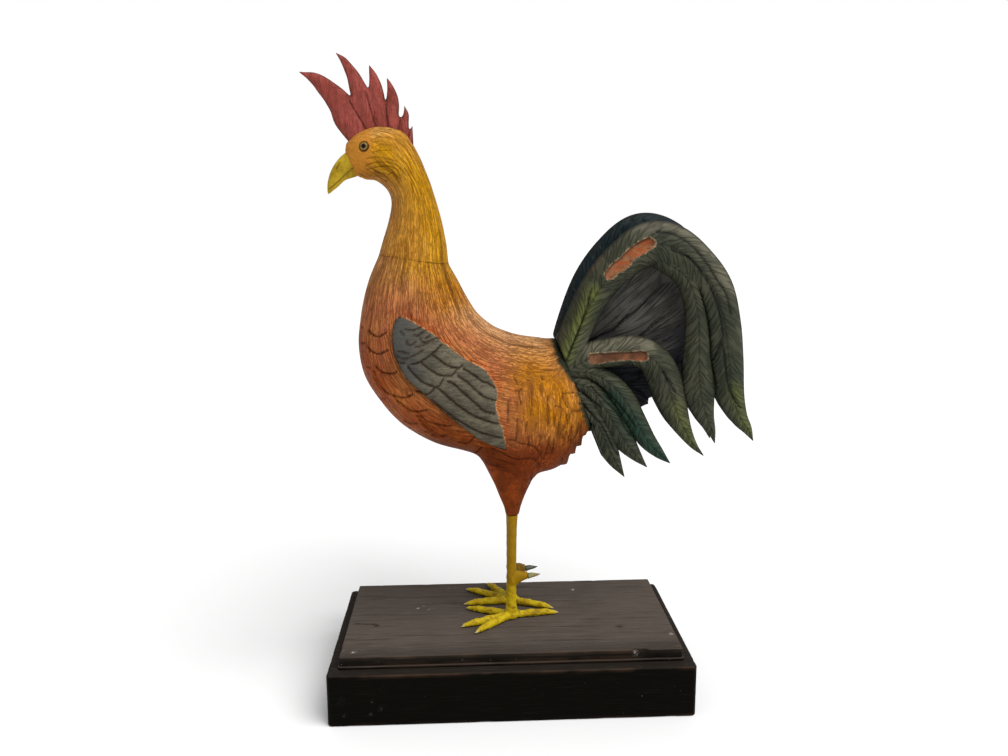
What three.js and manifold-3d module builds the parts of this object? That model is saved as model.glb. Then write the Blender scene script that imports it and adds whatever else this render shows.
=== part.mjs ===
// A folk-art rooster, carved in wood and painted, on a black two-step wooden plinth.
// Millimetres, +Z up. The bird faces -X; the origin is the centre of the plinth's underside.

import * as THREE from 'three';
import { mergeVertices } from 'three/addons/utils/BufferGeometryUtils.js';
import Module from 'manifold-3d';

const wasm = await Module();
wasm.setup();

// Plinth: a thick plank with a thinner board centred on it, and a small lip round the board's foot
const BLOCK = { length: 384, depth: 209, height: 56, corner: 5, arris: 1.6 };
const BOARD = { length: 360, depth: 179, height: 13, corner: 2, arris: 0.8 };
const LIP = { out: 1.6, height: 3, arris: 0.6 };

// The bird's middle plane on the plinth, and the hairline left between touching pieces
const BIRD_Y = 11;
const GAP = 0.3;

// From here on y is measured from the bird's middle plane, and z from the plinth's top.

// Body sections from the neck seam to the tail: the back's x and z, the breast's or belly's x and z, half the width
const BODY_SECTIONS = [
  [-61, 399, -135, 409, 31],
  [-54, 385.5, -147.5, 379, 37],
  [-46, 370.5, -156, 345, 46],
  [-39, 357.5, -159.5, 312, 56],
  [-32, 346.5, -154, 280, 65],
  [-22, 337, -138, 252.5, 71],
  [-11, 329.5, -115, 226.5, 74],
  [1, 324.5, -83, 206.5, 75],
  [12, 321.5, -47, 195, 73],
  [23, 319.5, -8, 182, 68],
  [34, 318, 28, 168, 60],
  [44, 317, 61, 175, 50],
  [53, 317.5, 94.5, 214, 38],
];

// Neck and head sections, from the same seam over the crown to the face
const HEAD_SECTIONS = [
  [-61, 399, -135, 409, 31],
  [-63.5, 423, -130.5, 423, 28],
  [-68, 445, -123.5, 444, 25],
  [-74, 468, -120, 463, 22.5],
  [-80, 486, -124, 476, 21.5],
  [-87, 504, -135, 485.5, 22],
  [-95, 521, -147, 487.5, 22],
  [-104, 534, -156, 492, 21],
  [-118, 539.5, -163, 500, 19.5],
  [-135, 540, -165.5, 509, 17],
  [-150, 535, -166, 516, 12],
  [-159, 529, -165, 523, 5],
];

// Beak sections: centre x and z, half the height, half the width, and then the tip
const BEAK_SECTIONS = [
  [-152, 506.5, 15, 11],
  [-165, 499.8, 12.3, 9],
  [-174, 492.5, 9, 6.5],
  [-180.5, 483, 6, 4],
  [-184.5, 475.5, 2.4, 1.6],
];
const BEAK_TIP = [-186, 472.5];
const MOUTH = [[-182, 479.5], [-168, 491], [-154, 502]];

const EYE = { x: -145, z: 519, radius: 4.6, depth: 3, rim: 0.5, dome: 2 };

// Thigh sections downwards: front x, rear x, height z, half the width, distance out from the middle plane
const THIGH_SECTIONS = [
  [-40, 52, 223, 30, 30],
  [-34, 46, 201, 29, 29],
  [-25, 36, 180, 23, 25],
  [-16.5, 26.5, 161, 16.5, 22],
  [-9.5, 19, 145, 11.5, 20],
  [-4, 14, 132, 8.2, 19],
  [-2.2, 12, 123, 6.8, 19],
];

// The rump's lower edge is a stair of sawn feather tips: the first tip, the step to the next, the step to its notch
const RUMP_STAIR = { count: 4, tip: [92, 209], next: [-7.6, -9.6], notch: [-6, -1.2] };

// Wing outline: the curved lower and upper edges, then the ragged rear end
const WING = {
  lower: [[-5, 206], [-24, 214.5], [-55, 234.5], [-86, 262.5], [-110, 291], [-118, 321], [-117, 338], [-108, 350]],
  upper: [[-108, 350], [-88, 338.5], [-57, 316], [-26, 295.5], [-15, 278]],
  rear: [[-12, 251], [-6, 225]],
  relief: 4.5,
  fadeFrom: 6.5,
  fadeTo: 10,
};

// Lines cut with a V tool: between the wing's quills on both sides of the bird
const QUILL_CUTS = [
  [[-46, 295], [-15, 277]],
  [[-53, 288], [-13, 263]],
  [[-63, 283], [-38, 265], [-14, 250]],
  [[-75, 276], [-47, 254], [-11, 239]],
  [[-82, 267], [-52, 246], [-33, 233], [-9, 222]],
];
// On the near side also along the wing's shoulder and round its coverts, and round the breast scales
const SCALE_CUTS = [
  [[-114, 300], [-95, 304], [-78, 311], [-66, 323]],
  [[-92, 310], [-76, 308], [-53, 295], [-46, 299]],
  [[-88, 304], [-69, 290], [-62, 288], [-54, 293]],
  [[-103, 298], [-85, 280], [-76, 278], [-69, 282]],
  [[-103, 281], [-95, 274], [-86, 271], [-78, 275]],
  [[-145, 334], [-135, 327], [-125, 333]],
  [[-147, 320], [-134, 311], [-122, 317]],
  [[-137, 299], [-125, 291], [-114, 296]],
  [[-137, 285], [-132, 274], [-116, 267], [-99, 271]],
  [[-113, 264], [-101, 253], [-85, 254]],
  [[-95, 247], [-76, 239], [-60, 238]],
];
const CUT = { width: 2.8, depth: 1.8, lift: 1.2 };

// Comb spikes: centre x and z, half the width, ending in a tip; and the thinner web that joins their feet
const SPIKES = [
  [[-153, 530, 11], [-162.5, 548, 14.5], [-169, 562, 13.4], [-179, 574, 10.8], [-193.5, 587, 6.8], [-211, 595, 0]],
  [[-137, 533, 9], [-144, 558, 9], [-150.5, 577, 9.5], [-157, 593.5, 6.3], [-165, 606, 3.8], [-173, 614, 0]],
  [[-127, 533, 8], [-131, 555, 8], [-132.5, 573, 8], [-134.5, 588, 5], [-139, 602, 0]],
  [[-115, 533, 7.5], [-117, 552, 7.5], [-116, 566, 6.8], [-117.5, 578, 4], [-121, 589, 0]],
  [[-106, 529, 6], [-104.5, 544, 5], [-102.5, 553, 3.2], [-104, 562, 0]],
  [[-100, 521, 4.5], [-98.5, 532, 3.2], [-96, 542, 0]],
];
const COMB_WEB = [
  [-163, 526], [-174, 548], [-162, 567], [-142, 574], [-124, 562], [-108, 550], [-99.5, 537], [-96, 523],
  [-103, 513], [-130, 527], [-150, 519],
];
const COMB = { web: 4.2, thick: 7, tipThick: 2.2 };

// Sickle feathers: centre x and z, half the width, half the thickness, ending in a tip
const SICKLES = {
  main: [
    [61, 288, 16, 14], [74, 331, 18, 15], [93, 373, 21, 15], [117, 402, 24, 15], [145, 420, 27, 14],
    [173.5, 417, 26.5, 13], [199.5, 396, 24, 12], [220, 369, 22, 11], [231.5, 333, 20, 10], [237.5, 295, 18.5, 9],
    [243, 258, 15.5, 7], [253, 232, 10, 5], [263.5, 216.5, 5.5, 3.5], [270.5, 203.5, 0, 0],
  ],
  inner: [
    [160, 403, 10, 9], [187, 385, 11, 10], [199.5, 357, 11.5, 10], [204, 325, 13.5, 9.5], [205.5, 288, 16.5, 9],
    [209, 258, 17, 7], [216.5, 232, 10, 5], [223.5, 216, 5, 3.5], [228, 201.5, 0, 0],
  ],
  lesser: [
    [62, 285, 15, 13], [86, 298, 16, 13], [112, 304, 16, 13], [135, 306, 16, 13], [156, 297, 17, 12],
    [169, 277, 18.5, 11], [177.5, 253.5, 16.5, 9], [185.5, 232.5, 13, 7], [195, 214, 8, 5], [205, 199, 4, 3.2],
    [216, 187.5, 0, 0],
  ],
  covertHigh: [
    [64, 283, 9, 11], [88, 283, 9, 12], [109, 272, 11, 12], [126, 253, 12.5, 11], [139, 230, 11.5, 9],
    [151.5, 208, 10, 7], [165.5, 192, 6.2, 4.5], [179, 179.5, 0, 0],
  ],
  covertMiddle: [
    [62, 273, 10, 11], [86, 267, 11, 12], [104, 245, 12, 11], [116, 225, 12.5, 9], [128.5, 205, 11.5, 7],
    [141, 189, 6.5, 4.5], [153.5, 175.5, 0, 0],
  ],
  covertLow: [
    [62, 263, 12, 11], [80, 251, 13, 11], [96, 228, 12.5, 10], [106.5, 206, 12, 8], [117, 184, 7.5, 5.5],
    [128.5, 165, 0, 0],
  ],
};
// How far the clusters stand out from the middle plane, less near the root
const CLUSTER = { out: 23, rootOut: 17, rootX: 55, rootRun: 60 };
// The far cluster spreads from its root a little wider than the near one
const FAR_SPREAD = { root: [60, 340], scale: 1.045 };
// Steps from station to station
const SMOOTH = { main: 2 };
// Two shallow recesses cut in the near side, where the wood is bare: their two ends, half the width
const SLOTS = [[[107, 385], [152.5, 421], 5.4], [[93, 298], [147, 301], 5]];
const SLOT_DEPTH = 3.5;

// Fan feathers behind the sickles, with round ends, on a thinner board
const FAN = [
  [[60, 295, 12, 6], [98, 338, 20, 7], [128, 371, 24, 7], [158, 405, 18, 6.5], [170, 418, 0, 0]],
  [[60, 295, 10, 6], [105, 318, 15, 6], [141, 335, 16, 6], [178, 366, 14, 6], [191, 377, 0, 0]],
  [[60, 291, 10, 6], [110, 301, 15, 5], [150, 318, 15, 5], [189, 340, 14, 5], [201, 348, 0, 0]],
  [[60, 285, 10, 6], [110, 288, 15, 6], [150, 293, 16, 6], [188, 309, 14, 5.5], [200, 317, 0, 0]],
  [[60, 281, 10, 6], [100, 275, 15, 5], [140, 271, 18, 5], [182, 281, 15, 5], [194, 286, 0, 0]],
  [[60, 278, 10, 6], [95, 268, 12, 6], [125, 259, 13, 6], [150, 247, 10, 5.5], [158, 242, 0, 0]],
];
const FAN_BOARD = [
  [50, 313], [88, 363], [130, 403], [160, 411], [197, 360], [200, 330], [193, 291], [172, 261], [154, 248],
  [110, 254], [50, 278],
];
const FAN_HALF = { board: 3.5, feather: 7 };

// Feet: each toe's tip as seen from above, and the hub under its shank
const FEET = {
  left: { hub: [3, -19], toes: [[-49, 5], [-55, -43], [-39, -58], [58, -12]], spurZ: 50 },
  right: { hub: [5, 19], toes: [[-52, 15], [-49, 57], [-23, 72], [54, -2]], spurZ: 43 },
};
const TOE = { halfWidth: 4, halfHeight: 3.8, tipZ: 2 };
// Along a toe: the share of its length and how fat it is there, for its knuckles and claw
const KNUCKLES = [[0, 1], [0.28, 0.85], [0.42, 1], [0.58, 0.85], [0.74, 0.95], [0.9, 0.65]];
const SHANK = { top: 123, radius: 5.3, ankle: 6.2 };
const SPUR = { start: 21.5, length: 15, radius: 3.3 };

const PAINT = {
  plinth: { color: 0x15130f, roughness: 0.7 },
  body: { color: 0xb06a22, roughness: 0.6 },
  head: { color: 0xc8952a, roughness: 0.6 },
  comb: { color: 0x7e3a30, roughness: 0.6 },
  sickle: { color: 0x3f4a32, roughness: 0.55 },
  fan: { color: 0x3e3d3a, roughness: 0.65 },
  leg: { color: 0xb5991a, roughness: 0.55 },
  horn: { color: 0x6a6a3c, roughness: 0.5 },
  glass: { color: 0x2a2117, roughness: 0.1 },
};

const at = (x, y, z) => new THREE.Vector3(x, y, z);

// Values between rows of numbers on a Catmull-Rom curve, for t from 0 to the last row
function between(rows, t) {
  const last = rows.length - 1;
  const k = Math.min(Math.floor(t), last - 1);
  const f = t - k;
  return rows[k].map((_, c) => {
    const p1 = rows[k][c];
    const p2 = rows[k + 1][c];
    const p0 = k > 0 ? rows[k - 1][c] : 2 * p1 - p2;
    const p3 = k + 2 <= last ? rows[k + 2][c] : 2 * p2 - p1;
    const slope1 = (p2 - p0) / 2;
    const slope2 = (p3 - p1) / 2;
    const a = 2 * (p1 - p2) + slope1 + slope2;
    const b = 3 * (p2 - p1) - 2 * slope1 - slope2;
    return ((a * f + b) * f + slope1) * f + p1;
  });
}

// Rows spread along the curve, with so many steps between one station and the next
function spread(rows, steps) {
  const count = (rows.length - 1) * steps;
  return Array.from({ length: count + 1 }, (_, i) => between(rows, i / steps));
}

// A ring of points, one for each angle of a full turn
function turn(sides, point) {
  return Array.from({ length: sides }, (_, i) => point((2 * Math.PI * i) / sides));
}

// A closed skin over rings of points. A ring of one point is a tip; an open end is closed by a flat fan.
function skin(rings) {
  const middle = (ring) => ring.reduce((sum, p) => sum.add(p), at(0, 0, 0)).divideScalar(ring.length);
  const loops = [...rings];
  if (loops[0].length > 1) loops.unshift([middle(loops[0])]);
  if (loops.at(-1).length > 1) loops.push([middle(loops.at(-1))]);
  const faces = [];
  let start = 0;
  for (let k = 0; k + 1 < loops.length; k += 1) {
    const here = loops[k].length;
    const next = loops[k + 1].length;
    const around = Math.max(here, next);
    for (let i = 0; i < around; i += 1) {
      const j = (i + 1) % around;
      const a = start + (i % here);
      const b = start + (j % here);
      const c = start + here + (i % next);
      const d = start + here + (j % next);
      if (here > 1) faces.push(a, b, c);
      if (next > 1) faces.push(b, d, c);
    }
    start += here;
  }
  const points = loops.flat();
  let volume = 0;
  for (let i = 0; i < faces.length; i += 3) {
    const [a, b, c] = faces.slice(i, i + 3).map((k) => points[k]);
    volume += a.dot(b.clone().cross(c));
  }
  if (volume < 0) faces.reverse();
  return new THREE.BufferGeometry().setFromPoints(points).setIndex(faces);
}

// A three.js geometry as a solid that can be joined and cut, and back again
function solid(geometry) {
  const bare = geometry.clone();
  bare.deleteAttribute('normal');
  bare.deleteAttribute('uv');
  const merged = mergeVertices(bare, 1e-4);
  return new wasm.Manifold(new wasm.Mesh({
    numProp: 3,
    vertProperties: new Float32Array(merged.attributes.position.array),
    triVerts: new Uint32Array(merged.index.array),
  }));
}

function geometryOf(piece) {
  const mesh = piece.getMesh();
  const geometry = new THREE.BufferGeometry();
  geometry.setAttribute('position', new THREE.Float32BufferAttribute(mesh.vertProperties, 3));
  geometry.setIndex([...mesh.triVerts]);
  geometry.computeVertexNormals();
  return geometry;
}

const joined = (parts) => parts.reduce((sum, part) => sum.add(part));

// A side outline cut from a board that lies between two y values
function sawn(outline, nearY, farY, curveSegments = 1) {
  const geometry = new THREE.ExtrudeGeometry(outline, { depth: farY - nearY, bevelEnabled: false, curveSegments });
  return solid(geometry.rotateX(Math.PI / 2).translate(0, farY, 0));
}

const outlineOf = (points) => new THREE.Shape(points.map(([x, z]) => new THREE.Vector2(x, z)));

// An oval ring across the bird between a back point and a front point.
// Sine and cosine are raised to a power for its roundness, and a positive sag makes it widest nearer the front.
function oval([backX, backZ, frontX, frontZ, halfWidth], { sides, power, sag, grow }) {
  const back = new THREE.Vector2(backX, backZ);
  const front = new THREE.Vector2(frontX, frontZ);
  const middle = back.clone().add(front).divideScalar(2);
  const half = back.clone().sub(front).divideScalar(2);
  half.setLength(half.length() + grow);
  const rounded = (value) => Math.sign(value) * Math.abs(value) ** power;
  return turn(sides, (angle) => {
    const along = rounded(Math.cos(angle));
    const across = rounded(Math.sin(angle)) * (halfWidth + grow) * (1 - sag * Math.cos(angle));
    return at(middle.x + half.x * along, across, middle.y + half.y * along);
  });
}

// Moves the seam's ring into its own piece by half the hairline
function backOffSeam(rings) {
  const [p, q, r] = [0, 1, 2].map((k) => rings[0][Math.floor((k * rings[0].length) / 3)]);
  const normal = q.clone().sub(p).cross(r.clone().sub(p)).normalize();
  const inward = Math.sign(normal.dot(rings[1][0].clone().sub(rings[0][0])));
  const shift = normal.multiplyScalar((inward * GAP) / 2);
  rings[0].forEach((point) => point.add(shift));
  return rings;
}

// The body's skin, raised by grow(t) at each place along its sections
function torso(grow) {
  const steps = 1.5;
  const rings = spread(BODY_SECTIONS, steps).map((row, i) => (
    oval(row, { sides: 20, power: 0.95, sag: 0.1, grow: grow(i / steps) })
  ));
  return solid(skin(backOffSeam(rings)));
}

function thigh(side) {
  const rings = THIGH_SECTIONS.map(([front, rear, z, halfWidth, out]) => turn(10, (angle) => {
    const x = (front + rear) / 2 + ((rear - front) / 2) * Math.cos(angle);
    return at(x, side * out + halfWidth * Math.sin(angle), z);
  }));
  return solid(skin(rings));
}

// A wing is the body's own surface, raised inside the wing's outline, with the relief dying away towards the rear
function wing(side) {
  const points = (list) => list.map(([x, z]) => new THREE.Vector2(x, z));
  const outline = new THREE.Shape();
  outline.moveTo(...WING.lower[0]);
  outline.splineThru(points(WING.lower.slice(1)));
  outline.splineThru(points(WING.upper.slice(1)));
  points(WING.rear).forEach((p) => outline.lineTo(p.x, p.y));
  const fade = (t) => 1 - THREE.MathUtils.smoothstep(t, WING.fadeFrom, WING.fadeTo) * 0.75;
  const raised = torso((t) => WING.relief * fade(t));
  const reach = 120;
  const cutter = side < 0 ? sawn(outline, -reach, -1) : sawn(outline, 1, reach);
  return raised.intersect(cutter);
}

// Where a line across the bird first meets a solid from the given side
function surface(mesh, x, z, side) {
  const reach = 500;
  const ray = new THREE.Raycaster(at(x, side * reach, z), at(0, -side, 0));
  return ray.intersectObject(mesh)[0];
}

// A V tool's path over a surface: its cross-section is a triangle with the point down in the wood
function vCut(mesh, line, side, { width, depth, lift }) {
  const path = spread(line, line.length > 2 ? 1 : 2);
  const rings = path.map(([x, z], i) => {
    const [x0, z0] = path[Math.max(0, i - 1)];
    const [x1, z1] = path[Math.min(path.length - 1, i + 1)];
    const across = new THREE.Vector2(z0 - z1, x1 - x0).setLength(width / 2);
    const y = surface(mesh, x, z, side).point.y;
    return [
      at(x, y - side * depth, z),
      at(x + across.x, y + side * lift, z + across.y),
      at(x - across.x, y + side * lift, z - across.y),
    ];
  });
  return solid(skin(rings));
}

// What the saw takes off below the stair of feather tips, right across the rump
function belowRump() {
  const { count, tip, next, notch } = RUMP_STAIR;
  const stair = [];
  for (let i = 0; i < count; i += 1) {
    const [x, z] = [tip[0] + next[0] * i, tip[1] + next[1] * i];
    stair.push([x, z], [x + notch[0], z + notch[1]]);
  }
  const [endX, endZ] = stair.at(-1);
  const clear = 30;
  const outline = [[tip[0] + clear, tip[1]], ...stair, [endX - 2, endZ - clear], [tip[0] + clear, endZ - clear]];
  return sawn(outlineOf(outline), -2 * clear, 2 * clear);
}

function body() {
  const plain = joined([torso(() => 0), thigh(-1), thigh(1), wing(-1), wing(1)]);
  const mesh = new THREE.Mesh(geometryOf(plain));
  const near = [...QUILL_CUTS, ...SCALE_CUTS].map((line) => vCut(mesh, line, -1, CUT));
  const far = QUILL_CUTS.map((line) => vCut(mesh, line, 1, CUT));
  return plain.subtract(joined([...near, ...far, belowRump()]));
}

// A blade that follows its rows: x, z, half the width, half the thickness, down to its tip.
// The profile gives the shape across it, and place turns a height above its middle into y.
function blade(rows, profile, place, steps) {
  const path = spread(rows, steps);
  return solid(skin(path.map(([x, z, halfWidth, halfThick], i) => {
    if (i === path.length - 1) return [at(x, place(0, x), z)];
    const [x0, z0] = path[Math.max(0, i - 1)];
    const [x1, z1] = path[i + 1];
    const tangent = new THREE.Vector2(x1 - x0, z1 - z0).normalize();
    return profile.map(([across, up]) => (
      at(x - tangent.y * across * halfWidth, place(up * halfThick, x), z + tangent.x * across * halfWidth)
    ));
  })));
}

// Profiles across a blade: how far out from its middle line, and how far up, as fractions
const QUILL = [[-1, 0], [-0.64, 0.74], [0, 1], [0.64, 0.74], [1, 0], [0.5, -0.8], [-0.5, -0.8]];
const LENS = [[-1, 0], [-0.5, 0.85], [0.5, 0.85], [1, 0], [0.5, -0.85], [-0.5, -0.85]];

function headOval(grow) {
  return spread(HEAD_SECTIONS, 1.5).map((row) => oval(row, { sides: 16, power: 0.97, sag: 0, grow }));
}

function beak() {
  const rings = BEAK_SECTIONS.map(([x, z, halfHeight, halfWidth], i) => {
    const [x0, z0] = BEAK_SECTIONS[Math.max(0, i - 1)];
    const [x1, z1] = BEAK_SECTIONS[i + 1] ?? BEAK_TIP;
    const tangent = new THREE.Vector2(x1 - x0, z1 - z0).normalize();
    return turn(10, (angle) => {
      const up = halfHeight * Math.cos(angle);
      return at(x - tangent.y * up, halfWidth * Math.sin(angle), z + tangent.x * up);
    });
  });
  rings.push([at(BEAK_TIP[0], 0, BEAK_TIP[1])]);
  return solid(skin(rings));
}

function headNeck() {
  const plain = solid(skin(backOffSeam(headOval(0)))).add(beak());
  const mesh = new THREE.Mesh(geometryOf(plain));
  return plain.subtract(joined([-1, 1].map((side) => vCut(mesh, MOUTH, side, CUT))));
}

// An eye is a turned disc with a domed front, set square to the cheek; its socket is a hairline larger
function eyeDisc(head, side, grow) {
  const mesh = new THREE.Mesh(geometryOf(head));
  const hit = surface(mesh, EYE.x, EYE.z, side);
  const radius = EYE.radius + grow;
  const profile = [[0, -EYE.depth - grow], [radius, -EYE.depth - grow], [radius, EYE.rim]];
  const arc = 3;
  for (let i = 1; i < arc; i += 1) {
    const angle = (Math.PI / 2) * (i / arc);
    profile.push([radius * Math.cos(angle), EYE.rim + EYE.dome * Math.sin(angle)]);
  }
  profile.push([0, EYE.rim + EYE.dome]);
  const disc = new THREE.LatheGeometry(profile.map(([r, h]) => new THREE.Vector2(r, h)), 10);
  disc.applyQuaternion(new THREE.Quaternion().setFromUnitVectors(at(0, 1, 0), hit.face.normal));
  return solid(disc.translate(hit.point.x, hit.point.y, hit.point.z));
}

function comb() {
  const web = sawn(outlineOf(COMB_WEB), -COMB.web, COMB.web);
  const spikes = SPIKES.map((rows) => {
    const thick = rows.map(([x, z, half], i) => {
      const share = i / (rows.length - 1);
      return [x, z, half, COMB.thick + (COMB.tipThick - COMB.thick) * share];
    });
    return blade(thick, LENS, (up) => up, rows.length > 5 ? 2 : 1);
  });
  return joined([web, ...spikes]).subtract(solid(skin(headOval(GAP))));
}

// The tail pieces butt against the flat end of the body: everything on the body's side is cut away
function bodySide() {
  const [topX, topZ, lowX, lowZ] = BODY_SECTIONS.at(-1);
  const size = 400;
  const block = new THREE.BoxGeometry(size, size, size).translate(-size / 2 + GAP, 0, 0);
  const lean = Math.atan2(topX - lowX, topZ - lowZ);
  return solid(block.rotateY(lean).translate((topX + lowX) / 2, 0, (topZ + lowZ) / 2));
}

// A recess with round ends from one end point to the other
function slot([[x0, z0], [x1, z1], half]) {
  const lean = Math.atan2(z1 - z0, x1 - x0);
  const outline = new THREE.Shape();
  outline.absarc(x1, z1, half, lean - Math.PI / 2, lean + Math.PI / 2);
  outline.absarc(x0, z0, half, lean + Math.PI / 2, lean + 1.5 * Math.PI);
  const face = CLUSTER.out + SICKLES.main[3][3];
  return sawn(outline, -face - 10, -face + SLOT_DEPTH, 4);
}

function sickles(side) {
  const place = (up, x) => {
    const rooted = THREE.MathUtils.clamp(1 - (x - CLUSTER.rootX) / CLUSTER.rootRun, 0, 1);
    const out = CLUSTER.out + (CLUSTER.rootOut - CLUSTER.out) * rooted;
    return side * Math.max(FAN_HALF.feather + GAP, out + up);
  };
  const [rootX, rootZ] = FAR_SPREAD.root;
  const scale = side > 0 ? FAR_SPREAD.scale : 1;
  const feathers = Object.entries(SICKLES).map(([name, rows]) => {
    const spaced = rows.map(([x, z, ...sizes]) => (
      [rootX + (x - rootX) * scale, rootZ + (z - rootZ) * scale, ...sizes]
    ));
    return blade(spaced, QUILL, place, SMOOTH[name] ?? 1);
  });
  const cluster = joined(feathers).subtract(bodySide());
  return side > 0 ? cluster : cluster.subtract(joined(SLOTS.map(slot)));
}

function fan() {
  const feathers = FAN.map((rows) => blade(rows, LENS, (up) => up, 1));
  const plate = sawn(outlineOf(FAN_BOARD), -FAN_HALF.board, FAN_HALF.board);
  return joined([plate, ...feathers]).subtract(bodySide());
}

// A toe lies flat on the plinth, with knuckles, and ends in a claw
function toe([hubX, hubY], [tipX, tipY]) {
  const hub = new THREE.Vector2(hubX, hubY);
  const along = new THREE.Vector2(tipX, tipY).sub(hub);
  const side = new THREE.Vector2(-along.y, along.x).normalize();
  const rings = KNUCKLES.map(([share, fat]) => turn(6, (angle) => {
    const across = TOE.halfWidth * fat * Math.cos(angle);
    const place = hub.clone().addScaledVector(along, share).addScaledVector(side, across);
    const up = TOE.halfHeight * fat * (0.9 + Math.sin(angle));
    return at(place.x, place.y, GAP + Math.max(0, up));
  }));
  rings.push([at(tipX, tipY, TOE.tipZ)]);
  return solid(skin(rings));
}

// A leg: round shank, four toes, and the boss that carries the spur
function leg({ hub, toes, spurZ }) {
  const [hubX, hubY] = hub;
  const [thighFront, thighRear] = THIGH_SECTIONS.at(-1);
  const lean = ((thighFront + thighRear) / 2 - hubX) / SHANK.top;
  const shank = [
    [GAP, SHANK.ankle + 1.5], [6, SHANK.ankle + 1], [14, SHANK.ankle], [30, SHANK.radius],
    [75, SHANK.radius], [SHANK.top - GAP, SHANK.radius + 0.8],
  ].map(([z, r]) => turn(10, (angle) => at(hubX + lean * z + r * Math.cos(angle), hubY + r * Math.sin(angle), z)));
  const boss = [[0, -3, 9, 4.5], [8, -1, 8, 4.5], [14, 0, 5.5, 4], [SPUR.start - hubX - GAP / 2, 1, 3.8, 3.6]]
    .map(([out, drop, halfHeight, halfWidth]) => turn(8, (angle) => (
      at(hubX + out, hubY + halfWidth * Math.cos(angle), spurZ + drop + halfHeight * Math.sin(angle))
    )));
  return joined([solid(skin(shank)), ...toes.map((tip) => toe(hub, tip)), solid(skin(boss))]);
}

function spur({ hub, spurZ }) {
  const rings = [[0, 1, 1], [0.35, 1, 0.85], [0.7, 1.2, 0.5]].map(([share, lift, fat]) => turn(8, (angle) => at(
    SPUR.start + GAP / 2 + SPUR.length * share,
    hub[1] + SPUR.radius * fat * Math.cos(angle),
    spurZ + lift + SPUR.radius * fat * Math.sin(angle),
  )));
  rings.push([at(SPUR.start + SPUR.length, hub[1], spurZ + 2)]);
  return solid(skin(rings));
}

// A plank with rounded upright edges and eased top and bottom edges, standing on z = 0
function plank({ length, depth, height, corner, arris }) {
  const w = length / 2 - arris;
  const d = depth / 2 - arris;
  const r = corner - arris;
  const outline = new THREE.Shape();
  outline.absarc(w - r, -d + r, r, -Math.PI / 2, 0);
  outline.absarc(w - r, d - r, r, 0, Math.PI / 2);
  outline.absarc(-w + r, d - r, r, Math.PI / 2, Math.PI);
  outline.absarc(-w + r, -d + r, r, Math.PI, 1.5 * Math.PI);
  const geometry = new THREE.ExtrudeGeometry(outline, {
    depth: height - 2 * arris, bevelThickness: arris, bevelSize: arris, bevelSegments: 1, curveSegments: 2,
  });
  return solid(geometry.translate(0, 0, arris));
}

function topBoard() {
  const lip = {
    length: BOARD.length + 2 * LIP.out,
    depth: BOARD.depth + 2 * LIP.out,
    height: LIP.height,
    corner: BOARD.corner + LIP.out,
    arris: LIP.arris,
  };
  return plank({ ...BOARD, height: BOARD.height - GAP }).add(plank(lip));
}

function named(name, piece, paint) {
  const mesh = new THREE.Mesh(geometryOf(piece), new THREE.MeshStandardMaterial({ ...PAINT[paint], metalness: 0 }));
  mesh.name = name;
  return mesh;
}

const group = new THREE.Group();
const upperBoard = named('plinth_board', topBoard(), 'plinth');
upperBoard.position.z = BLOCK.height + GAP;
group.add(named('plinth_block', plank(BLOCK), 'plinth'), upperBoard);

const bird = new THREE.Group();
bird.position.set(0, BIRD_Y, BLOCK.height + BOARD.height);
group.add(bird);

const head = headNeck();
const sockets = joined([-1, 1].map((side) => eyeDisc(head, side, GAP)));
bird.add(
  named('body', body(), 'body'),
  named('head_neck', head.subtract(sockets), 'head'),
  named('comb', comb(), 'comb'),
  named('tail_fan', fan(), 'fan'),
  named('sickles_left', sickles(-1), 'sickle'),
  named('sickles_right', sickles(1), 'sickle'),
  named('eye_left', eyeDisc(head, -1, 0), 'glass'),
  named('eye_right', eyeDisc(head, 1, 0), 'glass'),
);
for (const [name, foot] of Object.entries(FEET)) {
  bird.add(named(`leg_${name}`, leg(foot), 'leg'), named(`spur_${name}`, spur(foot), 'horn'));
}

export default group;
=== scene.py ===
import math

import bpy
import numpy as np
from mathutils import Matrix, Vector


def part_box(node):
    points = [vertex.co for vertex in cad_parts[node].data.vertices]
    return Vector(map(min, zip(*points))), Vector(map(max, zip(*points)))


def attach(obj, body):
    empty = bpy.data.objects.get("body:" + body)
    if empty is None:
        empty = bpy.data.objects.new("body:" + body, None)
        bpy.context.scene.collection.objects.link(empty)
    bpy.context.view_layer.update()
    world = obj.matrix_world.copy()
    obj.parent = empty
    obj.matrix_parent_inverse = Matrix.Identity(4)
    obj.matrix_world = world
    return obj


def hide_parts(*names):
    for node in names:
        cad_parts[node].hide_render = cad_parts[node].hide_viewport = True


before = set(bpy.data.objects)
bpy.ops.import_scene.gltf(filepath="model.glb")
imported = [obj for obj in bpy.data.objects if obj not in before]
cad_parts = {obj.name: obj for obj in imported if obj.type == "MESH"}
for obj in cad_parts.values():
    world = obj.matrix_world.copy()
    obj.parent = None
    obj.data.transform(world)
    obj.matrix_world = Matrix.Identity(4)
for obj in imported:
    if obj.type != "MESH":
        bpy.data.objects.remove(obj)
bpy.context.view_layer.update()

# The plinth's lower plank: one thick softwood board, sawn, its upright edges rounded by handling, and
# painted black. It carries everything else.

MM = 0.001


def stations(half, ease, step):
    """Places along one edge of a board: even steps, with four closer ones in the eased edge at each end."""
    inner = np.linspace(-half + ease, half - ease, max(2, int(2 * (half - ease) / step)))
    edge = ease * np.array([0, 0.3, 0.6, 0.85])
    return np.concatenate([-half + edge, inner, (half - edge)[::-1]])


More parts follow.
